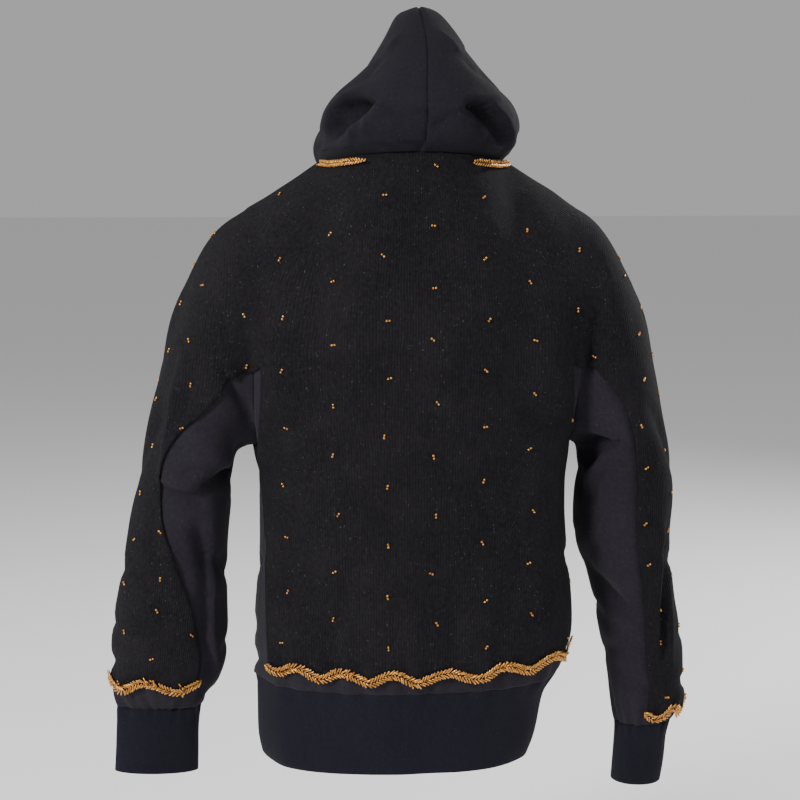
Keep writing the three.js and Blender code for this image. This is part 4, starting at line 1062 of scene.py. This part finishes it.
def chain_line():
    work = bmesh.new()
    work.from_mesh(nodes["zip_chain"].data)
    bmesh.ops.remove_doubles(work, verts=work.verts, dist=WELD)
    middles = [(edge.verts[0].co + edge.verts[1].co) / 2 for edge in rungs(work, CHAIN_WIDTH)]
    middles.sort(key=lambda p: p.z)
    work.free()
    line = []
    while len(middles) > 1:
        first = middles.pop(0)
        second = min(middles, key=lambda p: (p - first).length)
        middles.remove(second)
        face, rear = sorted((first, second), key=lambda p: p.y)
        line.append(((face + rear) / 2, (face - rear).normalized()))
    return line


chain = chain_line()
chain_length = sum((b[0] - a[0]).length for a, b in zip(chain, chain[1:]))
print("chain stations", len(chain), "length", round(chain_length, 3))

# %% Model a tooth and copy it
TOOTH = (0.0032, 0.0023, 0.0013)  # across, thick, high
HEAD = 0.0009  # the drawn-out end
HEAD_SHARES = (1, 0.72, 0.55)
PITCH = 0.0027
TOOTH_OUT = 0.00115  # from the chain's middle to a tooth's middle
deselect_all()
bpy.ops.mesh.primitive_cube_add(size=1)
tooth = bpy.context.object
bpy.ops.object.mode_set(mode="EDIT")
bpy.ops.transform.resize(value=TOOTH)
bpy.ops.mesh.select_mode(type="FACE")
bpy.ops.object.mode_set(mode="OBJECT")
for part in (*tooth.data.edges, *tooth.data.vertices):
    part.select = False
for face in tooth.data.polygons:
    face.select = face.normal.x < -0.5
    if face.select:
        for v in face.vertices:
            tooth.data.vertices[v].select = True
bpy.ops.object.mode_set(mode="EDIT")
bpy.ops.mesh.extrude_region_move(TRANSFORM_OT_translate={"value": (-HEAD, 0, 0)})
bpy.ops.transform.resize(value=HEAD_SHARES)
bpy.ops.object.mode_set(mode="OBJECT")
edges = tooth.modifiers.new("edges", "BEVEL")
edges.width = 0.00022
edges.segments = 2
bpy.ops.object.modifier_apply(modifier=edges.name)
bpy.ops.object.shade_smooth_by_angle(angle=math.radians(40))
placings = []
for count, (place, up, along) in enumerate(walk(chain, PITCH / 2)):
    side = 1 if count % 2 else -1
    across = along.cross(up).normalized() * side
    turn = Matrix((across, -up, along)).transposed().to_4x4()
    turn.translation = place + across * TOOTH_OUT
    placings.append(turn)
teeth = scatter("zip_teeth", tooth, placings, BRASS)
bpy.data.objects.remove(tooth)
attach(teeth, "garment")
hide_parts("zip_chain")
print("teeth", len(placings), len(teeth.data.polygons), "faces")

# %% [markdown]
# The slider, the stops, the box and the pull tab have the right form as solids. They keep it and get
# the brass.

# %% Finish the small metal solids
for name in ("zip_slider", "zip_stop_left", "zip_stop_right", "zip_box", "pull_tab"):
    nodes[name].data.materials.clear()
    nodes[name].data.materials.append(BRASS)
print("brass on five solids")

# %% [markdown]
# The fronts and the waistband are topstitched beside the zip, two rows a side. A stitch is one small
# copied bead of thread, sunk a little into the cloth, and its row is found on the cloth with rays.

# %% Topstitch the fronts
THREAD = cloth_material("black_thread", (0.012, 0.011, 0.014), (0.03, 0.028, 0.034), 0.0, 0.05, 0.05)
STITCH = 0.0031
STITCH_LIFT = 0.00008
STITCH_ROWS = (-0.0185, -0.0115, 0.0115, 0.0185)
LOWEST = -0.628
STITCH_COUNT = 171
thread = model_bead("stitch", radius=0.00032, depth=0.0024, sides=6, soften=0.00015)


def stitch_row(tree, starts, way):
    spots = [tree.ray_cast(Vector(start), Vector(way), 0.4)[:2] for start in starts]
    return [spot for spot in spots if spot[0] is not None]


def sew(rows):
    placings = []
    for row in rows:
        for (a, up), (b, next_up) in zip(row, row[1:]):
            along = b - a
            if 0.5 * STITCH < along.length < 2 * STITCH:
                placings.append(lay((a + b) / 2 + up * STITCH_LIFT, along.normalized(), up))
    return placings


front_tree = tree_of([dressed[name].data for name in ("front_left", "front_right", "waistband")])
heights = [LOWEST + STITCH * k for k in range(STITCH_COUNT)]
rows = [stitch_row(front_tree, [(x, -0.3, z) for z in heights], (0, 1, 0)) for x in STITCH_ROWS]
stitches = scatter("topstitching", thread, sew(rows), THREAD)
bpy.data.objects.remove(thread)
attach(stitches, "garment")
print("stitches", sum(len(row) for row in rows))
